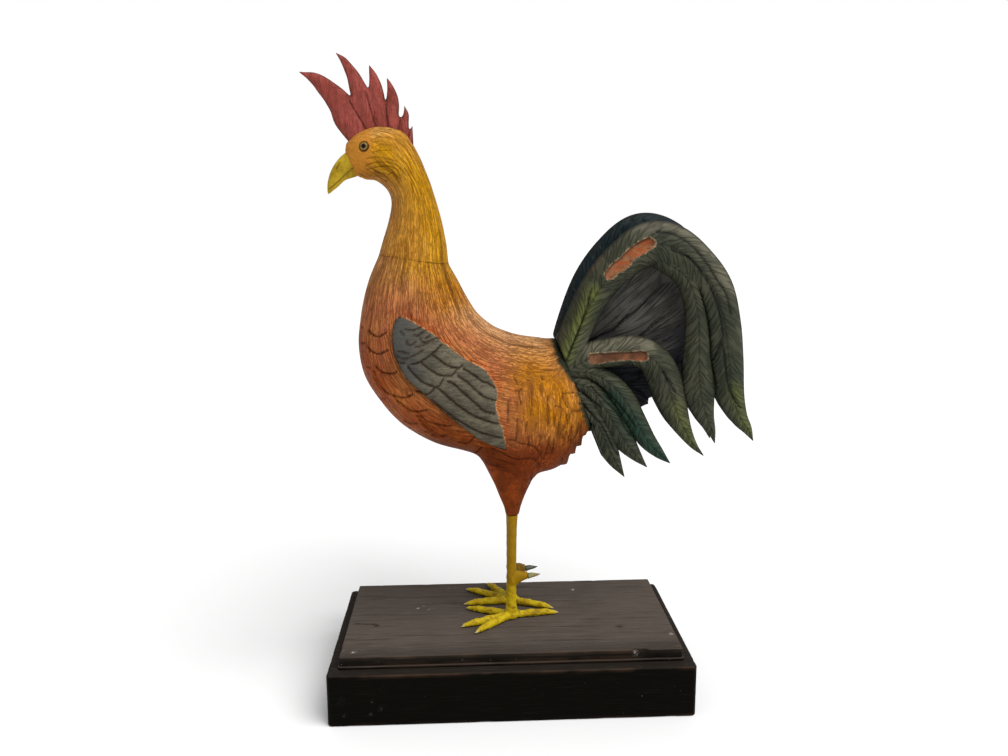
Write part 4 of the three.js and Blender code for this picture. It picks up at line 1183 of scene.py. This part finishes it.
def feather_paint(name, base, second, dark, light, slant, extra):
    """Dark paint on tail feathers, scratched and dashed along the barbs, which run out from the shaft and
    towards the tip at the slant, with painted shade along each feather's edges, where it meets the next.
    Extra colours are laid on by the marks that carry their names: paints, and also painted shade and
    painted highlight."""
    material, place, finish = paint(name, Specular_IOR_Level=0.12)
    lay = place.mark("lay", 1)
    parts = [lay.node("ShaderNodeSeparateXYZ", {}, {0: lay}, k) for k in range(3)]
    spread = lay.maths("ABSOLUTE", parts[1])
    slanted = place.node("ShaderNodeCombineXYZ", {}, {
        0: spread - slant * parts[0], 1: parts[0] + slant * spread, 2: parts[2] * 0.002})
    hair = place.blotch(slanted.stretched(700, 36, 200), 1, 3, 0.6, 0.2)
    dash = place.blotch(slanted.stretched(170, 5 + 26 * slant, 200), 1, 1, 0.5, 0.15).crease(0.085)
    cloud = place.blotch(place, 24, 4, 0.6)
    speck = place.blotch(place, 300, 3, 0.7)
    edge = lay.maths("ABSOLUTE", parts[2]).within(0.84, 1.0)
    colour = place.over(1.0, base).over(cloud.within(0.4, 0.62), second)
    for mark, laid in extra.items():
        colour = colour.over(place.mark(mark) * (0.7 + 0.6 * cloud), laid)
    colour = colour.over(hair.within(0.5, 0.34) * 0.16, light)
    colour = colour.over(hair.within(0.52, 0.66) * 0.28, dark)
    colour = colour.over(dash.most(place.mark("barb") * 0.3) * 0.4, dark)
    shaft = lay.maths("ABSOLUTE", parts[1]).within(0.0016, 0.0004)
    # painted shade along each feather's edges, strong on the sickles and faint on the fan
    colour = colour.over(shaft * 0.5 * slant, dark).over(edge * 0.9 * slant, dark)
    colour = colour.over(place.mark("cut") * 0.95, dark)
    if name == "sickle_olive":
        wood = place.over(1.0, (168, 112, 76)).over(speck.within(0.42, 0.6), (136, 92, 66))
        stain = place.blotch(place.stretched(60, 60, 160), 1, 3, 0.6)
        wood = wood.over(stain.within(0.45, 0.6) * 0.8, (166, 84, 40))
        level = place.node("ShaderNodeSeparateXYZ", {}, {0: place}, 2)
        wood = wood.over(level.within(0.43, 0.40) * cloud.within(0.3, 0.6), (88, 58, 40))
        slot = place.mark("slot") + (speck - 0.5) * 1.6
        rim = slot.within(-1.8, -0.4) * slot.within(0.9, 0.0)
        colour = colour.over(slot.within(-0.3, 0.3), wood)
        colour = colour.over(place.mark("shade") * slot.within(-0.5, 0.5), (44, 26, 18))
        colour = colour.over(rim * 0.6 * speck.within(0.4, 0.6), (186, 162, 128))
    rough = 0.55 + 0.25 * (cloud - 0.5)
    bare = place.mark("slot").within(0.4, -0.4) if name == "sickle_olive" else 1.0
    height = 0.4 * speck - (0.12 * hair.within(0.5, 0.66) + 0.9 * dash + 0.3 * place.mark("barb")) * bare
    finish(colour, rough, height, 0.0012)
    return material


fan.data.materials.append(feather_paint(
    "fan_grey", (86, 84, 78), (64, 63, 60), (9, 9, 9), (116, 114, 106), 0.12,
    # the darkest of these, towards the root, is painted shade
    {"root_shade": (26, 26, 24), "navy": (54, 52, 68), "night": (14, 18, 26)}))
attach(fan, "root")
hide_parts("tail_fan")

# The sickle feathers: on each side of the fan a cluster of six long feathers, carved from one board in an
# arch, with barbs cut at a slant from each shaft. The near cluster has two shallow recesses of bare wood.

SICKLES = {
    "main": [
        [61, 288, 16, 14], [74, 331, 18, 15], [93, 373, 21, 15], [117, 402, 24, 15], [145, 420, 27, 14],
        [173.5, 417, 26.5, 13], [199.5, 396, 24, 12], [220, 369, 22, 11], [231.5, 333, 20, 10],
        [237.5, 295, 18.5, 9],
        [243, 258, 15.5, 7], [253, 232, 10, 5], [263.5, 216.5, 5.5, 3.5], [270.5, 203.5, 0.4, 0.4],
    ],
    "inner": [
        [160, 403, 10, 9], [187, 385, 11, 10], [199.5, 357, 11.5, 10], [204, 325, 13.5, 9.5],
        [205.5, 288, 16.5, 9],
        [209, 258, 17, 7], [216.5, 232, 10, 5], [223.5, 216, 5, 3.5], [228, 201.5, 0.4, 0.4],
    ],
    "lesser": [
        [62, 285, 15, 13], [86, 298, 16, 13], [112, 304, 16, 13], [135, 306, 16, 13], [156, 297, 17, 12],
        [169, 277, 18.5, 11], [177.5, 253.5, 16.5, 9], [185.5, 232.5, 13, 7], [195, 214, 8, 5],
        [205, 199, 4, 3.2],
        [216, 187.5, 0.4, 0.4],
    ],
    "covert_high": [
        [64, 283, 9, 11], [88, 283, 9, 12], [109, 272, 11, 12], [126, 253, 12.5, 11], [139, 230, 11.5, 9],
        [151.5, 208, 10, 7], [165.5, 192, 6.2, 4.5], [179, 179.5, 0.4, 0.4],
    ],
    "covert_middle": [
        [62, 273, 10, 11], [86, 267, 11, 12], [104, 245, 12, 11], [116, 225, 12.5, 9],
        [128.5, 205, 11.5, 7],
        [141, 189, 6.5, 4.5], [153.5, 175.5, 0.4, 0.4],
    ],
    "covert_low": [
        [62, 263, 12, 11], [80, 251, 13, 11], [96, 228, 12.5, 10], [106.5, 206, 12, 8],
        [117, 184, 7.5, 5.5],
        [128.5, 165, 0.4, 0.4],
    ],
}
CLUSTER = {"out": 23, "root_out": 17, "root_x": 55, "root_run": 60, "fan_clear": 7.3}
FAR_SPREAD = {"root": (60, 340), "scale": 1.045}
NEAR_TRIM = [
    [1.2, -0.5, -1.2], [2.8, -1.2, -2.8], [3.2, -1.9, -3.5], [2.6, -2.8, -3.4], [0.8, -2.4, -2.4],
    [0, -0.8, -0.8],
]
FAR_TRIM = [[-0.8, -1.6, -1.2], [-2.4, -2.2, -1.6], [-2.6, -1.4, -1.6], [-1.2, -0.4, -0.8]]
SLOTS = [
    [[101, 387], [103, 383], [107, 382], [110, 384], [117, 390], [122, 392], [126, 396], [129, 399],
     [132, 404],
     [136, 406], [144, 410], [147, 412], [151, 415], [154, 418], [154, 421], [152, 423], [147, 426],
     [142, 424],
     [134, 420], [125, 413], [117, 405], [109, 399], [106, 395], [103, 392]],
    [[87, 304], [86, 301], [87, 295], [91, 293], [97, 293], [103, 295], [111, 296], [120, 297],
     [130, 297], [140, 296],
     [146, 296], [149, 298], [149, 303], [147, 306], [142, 307], [127, 306], [112, 306], [104, 305],
     [95, 305]],
]
SLOT_FLOOR = 33.5
TAIL_END = 279.7
SICKLE_CUTS = [
    [[155, 431], [171, 429], [184, 423], [192, 417], [207, 401], [220, 382], [231, 366], [237, 346]],
    [[171, 413], [185, 407], [193, 402], [206, 386], [212, 377], [221, 358], [227, 337], [230, 321]],
    [[230, 322], [227, 312], [222, 295]],
    [[229, 313], [231, 305], [236, 277], [239, 265], [243, 256], [253, 242]],
    [[203, 372], [207, 360], [215, 335], [218, 311], [219, 299], [225, 274], [227, 264]],
    [[89, 269], [96, 261], [115, 242], [122, 233], [127, 222], [134, 213]],
    [[90, 274], [99, 269], [108, 261], [124, 243], [138, 224]],
    [[81, 261], [92, 252], [100, 246]],
    [[80, 249], [97, 231], [104, 221], [114, 200], [120, 192]],
    [[84, 235], [89, 229], [93, 224]],
    [[166, 284], [173, 272], [180, 262]],
    [[60, 292], [73, 324], [83, 352], [88, 373]],
]


def quill(count):
    """A sickle feather's section: up from its edges to the shaft's ridge as one less the cube of the
    distance across, and flatter underneath."""
    turn = np.linspace(0, 2 * np.pi, count + 1)[:-1]
    across = -np.cos(turn)
    up = np.where(turn < np.pi, 1 - np.abs(across) ** 3, -0.8 * (1 - across ** 4))
    return np.column_stack([across, up])


def slot_edge(spots):
    """How far inside a recess each spot is: the distance from its outline, less than nothing outside."""
    best = np.full(len(spots), -50.0)
    for row in SLOTS:
        ring = np.array(row + row[:1], float)
        best = np.maximum(best, away(spots, ring) * np.where(inside(spots, ring[:-1]), 1, -1))
    return best


def sickles(side):
    """A cluster's skin: each feather's height above its middle is measured outwards from the fan, and the
    whole cluster draws in at its root. The far cluster is spread a little wider about its root."""
    def place(up, x):
        """Outwards from the fan by the height, drawn in at the root, and never into the fan."""
        rooted = np.clip(1 - (x - CLUSTER["root_x"]) / CLUSTER["root_run"], 0, 1)
        out = CLUSTER["out"] + (CLUSTER["root_out"] - CLUSTER["out"]) * rooted
        return side * np.maximum(CLUSTER["fan_clear"], out + up)

    spread = FAR_SPREAD["scale"] if side > 0 else 1
    feathers = []
    for which, rows in SICKLES.items():
        rows = np.array(rows, float)
        if side < 0 and which == "main":
            rows[1:7, :3] += NEAR_TRIM
        if side > 0 and which == "main":
            rows[5:9, :3] += FAR_TRIM
        rows[:, :2] = FAR_SPREAD["root"] + (rows[:, :2] - FAR_SPREAD["root"]) * spread
        feathers.append(rows)
    return feathered(feathers, quill(64), 255, place, {"shaft": 0.5, "slant": 0.8})


for side, name, node in ((-1, "near_sickles", "sickles_left"), (1, "far_sickles", "sickles_right")):
    plume, plume_faces, plume_lay, plume_barb = sickles(side)
    plume[:, 0] = np.minimum(plume[:, 0], TAIL_END)
    outer = side * plume[:, 1] > 20
    if side < 0:
        rims = [row + row[:1] for row in SLOTS]
        plume[np.ix_(outer, [0, 2])] = drawn_onto(plume[np.ix_(outer, [0, 2])], SICKLE_CUTS + rims, 2.0)
    spots = plume[:, [0, 2]]
    slot = np.where(outer & (side < 0), slot_edge(spots), -50)
    sunk = ramp(slot, -0.2, 1.6)
    ragged = 0.8 * mottle(plume, (3, 3, 3), 81) + 0.8 * mottle(plume, (9, 9, 2), 83)
    cut_gap = nearest(spots, SICKLE_CUTS)
    cut_gap[~outer] = 50
    floor_y = side * (SLOT_FLOOR - ragged)
    plume[:, 1] = np.where(sunk > 0, plume[:, 1] * (1 - sunk) + floor_y * sunk, plume[:, 1])
    plume[:, 1] -= side * v_cut(cut_gap, 3.0, 1.3) * (1 - sunk)
    piece = carved(name, plume + BIRD, plume_faces, crisp=60, marks={
        "lay": plume_lay, "barb": plume_barb * (1 - sunk), "slot": np.clip(slot, -6, 6),
        "cut": 0.9 * ramp(cut_gap, 1.5, 0.3) * (1 - sunk),
        "shade": ramp(-slot, -3.0, -0.4) * ramp(slot_edge(spots + [-1.2, 2.2]), 0.5, -1.0),
        "lime": np.maximum(
            brushed(spots, [[[62, 300], [70, 324], [77, 339], [83, 354], [90, 370]]], 7) * 0.75,
            brushed(spots, [[[182, 245], [190, 228], [203, 204]],
                            [[246, 262], [256, 235], [265, 213]]], 8) * 0.45),
        "scuff": (side < 0) * brushed(spots, [[[86, 396], [94, 408]]], 5),
        "teal": brushed(spots, [[[113, 258], [132, 231], [151, 205], [170, 188]]], 10),
        # a pale painted highlight along the top edges of the arch, where the light catches them
        "top_edge_highlight": brushed(spots, [[[136, 440], [167, 444], [197, 432], [222, 405], [238, 374]],
                               [[90, 312], [124, 320], [150, 316]]], 12),
        "ink": (side > 0) * ramp(plume[:, 2] - 0.2 * plume[:, 0], 240, 290),
    })
    olive = bpy.data.materials.get("sickle_olive") or feather_paint(
        "sickle_olive", (72, 73, 57), (55, 60, 46), (22, 24, 17), (102, 102, 78), 0.8,
        # the pale colour along the arch's top edges is a painted highlight
        {"lime": (114, 122, 56), "teal": (38, 66, 52), "top_edge_highlight": (110, 106, 88), "ink": (10, 30, 38),
         "scuff": (112, 80, 62)})
    piece.data.materials.append(olive)
    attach(piece, "root")
    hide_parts(node)

# The legs: iron rods built up with toes of filler, lumpy and knuckled, and painted bright yellow. Dirt lies
# in the hollows, and each toe ends in a pale claw.

FEET = {
    "left": {"hub": (3, -19), "toes": [(-49, 5), (-55, -43), (-39, -58), (58, -12)], "spur": 50},
    "right": {"hub": (5, 19), "toes": [(-52, 15), (-49, 57), (-23, 72), (54, -2)], "spur": 43},
}
KNUCKLES = [
    [0, 1.05], [0.14, 1.0], [0.28, 0.9], [0.42, 0.96], [0.58, 0.84], [0.72, 0.84], [0.84, 0.6],
    [0.93, 0.36], [1, 0.06],
]
TOE = {"half_width": 5.0, "half_height": 4.4}
SHANK_TOP = 123
# the boss's last section lies past its flat end, so that the end is cut through a full round
BOSS = {"end": 21.3, "last_section": 22.8}


def toe(hub, tip):
    """A toe along the plinth's top: a round section carried from hub to tip, as fat as its knuckles say,
    and cut flat underneath where it lies on the board."""
    hub, tip = np.array(hub, float), np.array(tip, float)
    rows = curve(KNUCKLES, 50)
    along = tip - hub
    across = np.array([-along[1], along[0]]) / np.linalg.norm(along)
    turn = np.linspace(0, 2 * np.pi, 25)[:-1]
    share, fat = rows[:, 0:1], rows[:, 1:2]
    plan = hub + along * share[..., None] + across * (TOE["half_width"] * fat * np.cos(turn))[..., None]
    up = TOE["half_height"] * fat * (0.9 + np.sin(turn)) + 1.2 * share ** 6
    return tube(np.dstack([plan, GAP + np.maximum(0, up)]))


def pillar(rows, hub, lean):
    """An upright round rod: each row gives its level and radius, and it leans as it rises."""
    rows = curve(rows, 60)
    turn = np.linspace(0, 2 * np.pi, 33)[:-1]
    level, radius = rows[:, 0:1], rows[:, 1:2]
    x = hub[0] + lean * level + radius * np.cos(turn)
    return tube(np.dstack([x, hub[1] + radius * np.sin(turn), level + 0 * turn]))


def sideways(rows, hub, level):
    """A stub that runs backwards from the shank: each row gives how far out, how far up, and half its
    height and width."""
    rows = curve(rows, 40)
    turn = np.linspace(0, 2 * np.pi, 33)[:-1]
    out, up, tall, wide = (rows[:, k:k + 1] for k in range(4))
    y, z = hub[1] + wide * np.cos(turn), level + up + tall * np.sin(turn)
    return tube(np.dstack([hub[0] + out + 0 * turn, y, z]))


def yellow_paint(name):
    """Bright yellow paint on filler and iron: ochre on the shank, brown dirt in hollows, pale claws."""
    material, place, finish = paint(name, Specular_IOR_Level=0.1)
    cloud = place.blotch(place, 90, 4, 0.7)
    speck = place.blotch(place, 480, 3, 0.7)
    colour = place.over(1.0, (206, 180, 24)).over(cloud.within(0.42, 0.6), (184, 152, 16))
    colour = colour.over(place.mark("shank") * 0.9, (150, 110, 6))
    colour = colour.over(speck.within(0.52, 0.66) * 0.4, (128, 96, 26))
    colour = colour.over(cloud.within(0.54, 0.68) * 0.25, (112, 80, 30))
    colour = colour.over(place.mark("dirt"), (84, 58, 28)).over(place.mark("claw"), (198, 178, 116))
    finish(colour, 0.5 + 0.3 * (cloud - 0.5), speck + cloud, 0.0005)
    return material


yellow = yellow_paint("leg_yellow")
thigh_foot = (THIGH_SECTIONS[-1][0] + THIGH_SECTIONS[-1][1]) / 2
for which, foot in FEET.items():
    hub, level = foot["hub"], foot["spur"]
    lean = (thigh_foot - hub[0]) / SHANK_TOP
    rod = [
        [GAP, 7.0], [4, 7.6], [9, 6.9], [16, 6.1], [30, 5.4], [75, 5.2], [105, 5.4], [SHANK_TOP - GAP, 6.2],
    ]
    boss = [
        [0, -3, 9, 4.5], [5, -2.2, 8.8, 4.6], [10, -0.8, 7.2, 4.4], [14.5, 0.2, 5.3, 4.0],
        [BOSS["last_section"] - hub[0], 1, 3.9, 3.7],
    ]
    parts = [pillar(rod, hub, lean), sideways(boss, hub, level)] + [toe(hub, tip) for tip in foot["toes"]]
    limb, limb_quads = fused(parts, 0.62)
    web = (1 - ramp(limb[:, 2], 8, 18)) * ramp(-np.hypot(*(limb[:, :2] - hub).T), -22, -10)
    limb = smoothed(limb, limb_quads, 0.15 + 0.4 * web, 10)
    limb_out = normals_of(limb, limb_quads)
    lumps = 0.9 * (mottle(limb, (5, 5, 4), 91) - 0.5) + 0.5 * (mottle(limb, (2.2, 2.2, 2.2), 93) - 0.5)
    low = 1 - ramp(limb[:, 2], 40, 70)
    ends = ramp(SHANK_TOP - limb[:, 2], 0, 3)
    limb = limb + limb_out * (lumps * (0.25 + 0.75 * low) * ends - 0.1)[:, None]
    limb[:, 2] = np.clip(limb[:, 2], GAP, SHANK_TOP - GAP)
    limb[:, 0] = np.where(np.abs(limb[:, 2] - level) < 12, np.minimum(limb[:, 0], BOSS["end"]), limb[:, 0])
    claws = blobs(limb, [(x, y, 2.5) for x, y in foot["toes"]], (6, 5, 6))
    far_boss = (which == "right") * blobs(limb, [(17, hub[1], level), (12, hub[1], level)], (7, 8, 9))
    grime = 0.5 * ramp(mottle(limb, (4, 4, 3), 95), 0.66, 0.85) * (1 - ramp(limb[:, 2], 10, 30))
    leg = carved(f"leg_{which}_filler", limb + BIRD, limb_quads, crisp=70, marks={
        "shank": ramp(limb[:, 2], 22, 50), "claw": ramp(claws, 0.25, 0.7),
        "dirt": np.clip(far_boss * 0.8 + grime, 0, 1),
    })
    leg.data.materials.append(yellow)
    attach(leg, "root")
    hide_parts(f"leg_{which}")

# The spurs: a horn tip set on each leg's boss, with a dark ring of glue at the joint. It tapers to a point
# that turns up a little. The near one is olive yellow and the far one grey-green.

SPUR = {"start": 21.5, "length": 15, "radius": 3.3}


def horn_finish(name, base, second):
    """Horn: streaked along its length, a dark ring at the root, smooth and a little shiny."""
    material, place, finish = paint(name, Specular_IOR_Level=0.5)
    streak = place.blotch(place.stretched(60, 500, 500), 1, 3, 0.6)
    colour = place.over(1.0, base).over(streak.within(0.4, 0.62), second)
    colour = colour.over(place.mark("ring") * 0.9, (34, 26, 14))
    finish(colour, 0.35 + 0.3 * streak, streak, 0.0003)
    return material


HORN_ROWS = [
    [0, 0, 1], [0.12, 0.1, 0.98], [0.35, 0.9, 0.85], [0.7, 1.2, 0.5], [0.93, 1.8, 0.16], [1, 2, 0.03],
]
HORNS = {"left": ((146, 136, 72), (108, 100, 46)), "right": ((84, 92, 76), (52, 60, 52))}
for which, foot in FEET.items():
    rows = curve(HORN_ROWS, 48)
    turn = np.linspace(0, 2 * np.pi, 33)[:-1]
    share, up, fat = rows[:, 0:1], rows[:, 1:2], SPUR["radius"] * rows[:, 2:3] * 0.98
    rings = np.dstack([
        SPUR["start"] + GAP / 2 + (SPUR["length"] - GAP) * share + 0 * turn,
        foot["hub"][1] + fat * np.cos(turn),
        foot["spur"] + up * 0.98 + fat * np.sin(turn),
    ])
    tip, tip_quads, tip_fans = tube(rings)
    spur = carved(f"spur_{which}_horn", tip + BIRD, [tip_quads, tip_fans], marks={
        "ring": ramp(-tip[:, 0], -SPUR["start"] - 1.6, -SPUR["start"] - 0.9),
    })
    spur.data.materials.append(horn_finish(f"spur_horn_{which}", *HORNS[which]))
    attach(spur, "root")
    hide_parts(f"spur_{which}")

# The eyes: glass discs with a domed face, set in sockets. Each is painted behind with an olive-brown ring
# round a dark pupil.

eye_profile = curve([
    [0.05, -3], [3.0, -3], [4.5, -2.6], [4.6, -1], [4.55, 0.4], [4.1, 1.2], [2.9, 2.0], [1.5, 2.4],
    [0.05, 2.5],
], 60)
eye_turn = np.linspace(0, 2 * np.pi, 49)[:-1]


def eye_glass(name):
    """Clear domed glass over paint: dark pupil, olive-brown iris with fine rays, dark rim."""
    material, place, finish = paint(name, Specular_IOR_Level=0.1, Coat_Weight=0.12, Coat_Roughness=0.04)
    ring = place.mark("ring")
    ray = place.blotch(place, 900, 2, 0.6)
    colour = place.over(1.0, (20, 13, 8)).over(ring.within(0.46, 0.54), (150, 124, 62))
    colour = colour.over(ring.within(0.5, 0.6) * ray.within(0.4, 0.6), (96, 74, 30))
    colour = colour.over(ring.within(0.8, 0.92), (66, 44, 20))
    finish(colour, 0.12, ray, 0.00002)
    return material


glass = eye_glass("eye_glass_paint")
for side, node in ((-1, "eye_left"), (1, "eye_right")):
    low, high = (np.array(corner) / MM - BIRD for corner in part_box(node))
    ring = head_rings[:, :, [0, 2]]
    gap = np.hypot(ring[..., 0] - EYE["x"], ring[..., 1] - EYE["z"])
    gap = gap + np.where(side * head_rings[..., 1] > 3, 0, 99)
    row, column = np.unravel_index(gap.argmin(), gap.shape)
    seat = head_rings[row, column]
    square = np.cross(head_rings[row + 3, column] - head_rings[row - 3, column],
                      head_rings[row, (column + 3) % 200] - head_rings[row, column - 3])
    square *= side * np.sign(square[1]) / np.linalg.norm(square)
    first = np.cross(square, [0, 0, 1])
    first /= np.linalg.norm(first)
    second = np.cross(square, first)
    radius, height = eye_profile[:, 0:1], eye_profile[:, 1:2]
    rings = (seat + square * height[..., None] + (radius * np.cos(eye_turn))[..., None] * first
             + (radius * np.sin(eye_turn))[..., None] * second)
    ball, ball_quads, ball_fans = tube(rings)
    reach = np.append(np.repeat(radius[:, 0], 48), [0, 0]) / EYE["radius"]
    ball = np.clip(ball, low + 0.02, high - 0.02) + BIRD
    eye = carved(f"glass_{node}", ball, [ball_quads, ball_fans], marks={"ring": reach})
    eye.data.materials.append(glass)
    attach(eye, "root")
    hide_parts(node)

# The floor: a plain white matt sheet, far wider than the view. It is no part of the object, and only catches
# the shadow.

corners = np.array([[-40, -40, 0], [40, -40, 0], [40, 40, 0], [-40, 40, 0]]) / MM
floor = carved("floor", corners, np.array([[0, 1, 2, 3]]))
white, _, finish_floor = paint("white_sheet", Specular_IOR_Level=0.0)
finish_floor((0.86, 0.86, 0.86, 1.0), 0.9, 0.0, 0.0001)
floor.data.materials.append(white)

# The light: one broad soft lamp, high at the right and in front, and an even white surround. The surround
# gives less light than it shows, so that the lamp's shading stays.

LAMP = {"angle": 50, "energy": 3.0, "from": (0.56, -0.5, 1.0)}
SURROUND = {"lights": 0.52, "shows": 1.0}
lamp = bpy.data.lights.new("key", "SUN")
lamp.angle, lamp.energy = math.radians(LAMP["angle"]), LAMP["energy"]
key = bpy.data.objects.new("key", lamp)
key.rotation_euler = Vector(LAMP["from"]).to_track_quat("Z", "Y").to_euler()
bpy.context.scene.collection.objects.link(key)
world = bpy.data.worlds.new("surround")
world.use_nodes = True
plain = Field(world.node_tree, None)
seen = plain.node("ShaderNodeLightPath")
dim = plain.node("ShaderNodeBackground", {}, {"Color": (1, 1, 1, 1), "Strength": SURROUND["lights"]})
bright = plain.node("ShaderNodeBackground", {}, {"Color": (1, 1, 1, 1), "Strength": SURROUND["shows"]})
surround = plain.node("ShaderNodeMixShader", {}, {0: seen, 1: dim, 2: bright})
world.node_tree.links.new(surround.socket, world.node_tree.nodes["World Output"].inputs["Surface"])
bpy.context.scene.world = world
bpy.context.scene.view_settings.view_transform = "Standard"

# The camera stands a little left of the plinth's middle, 0.9 m in front, and looks slightly down. Its place
# and turn were worked out from the plinth's edges.

CAMERA = {
    "place": (-0.04142, -0.91466, 0.51196), "turn": (2.4018, 10.371, -0.370), "lens": 30.57, "sensor": 36,
}
yaw, pitch, roll = (math.radians(turn) for turn in CAMERA["turn"])
forward = np.array([math.sin(yaw) * math.cos(pitch), math.cos(yaw) * math.cos(pitch), -math.sin(pitch)])
level = np.array([math.cos(yaw), -math.sin(yaw), 0])
upward = np.cross(level, forward)
right = math.cos(roll) * level + math.sin(roll) * upward
above = math.cos(roll) * upward - math.sin(roll) * level
lens_data = bpy.data.cameras.new("camera")
lens_data.lens, lens_data.sensor_width, lens_data.sensor_fit = CAMERA["lens"], CAMERA["sensor"], "HORIZONTAL"
camera = bpy.data.objects.new("camera", lens_data)
camera.matrix_world = Matrix(np.vstack([
    np.column_stack([right, above, -forward, CAMERA["place"]]), [0, 0, 0, 1]]).tolist())
bpy.context.scene.collection.objects.link(camera)
bpy.context.scene.camera = camera
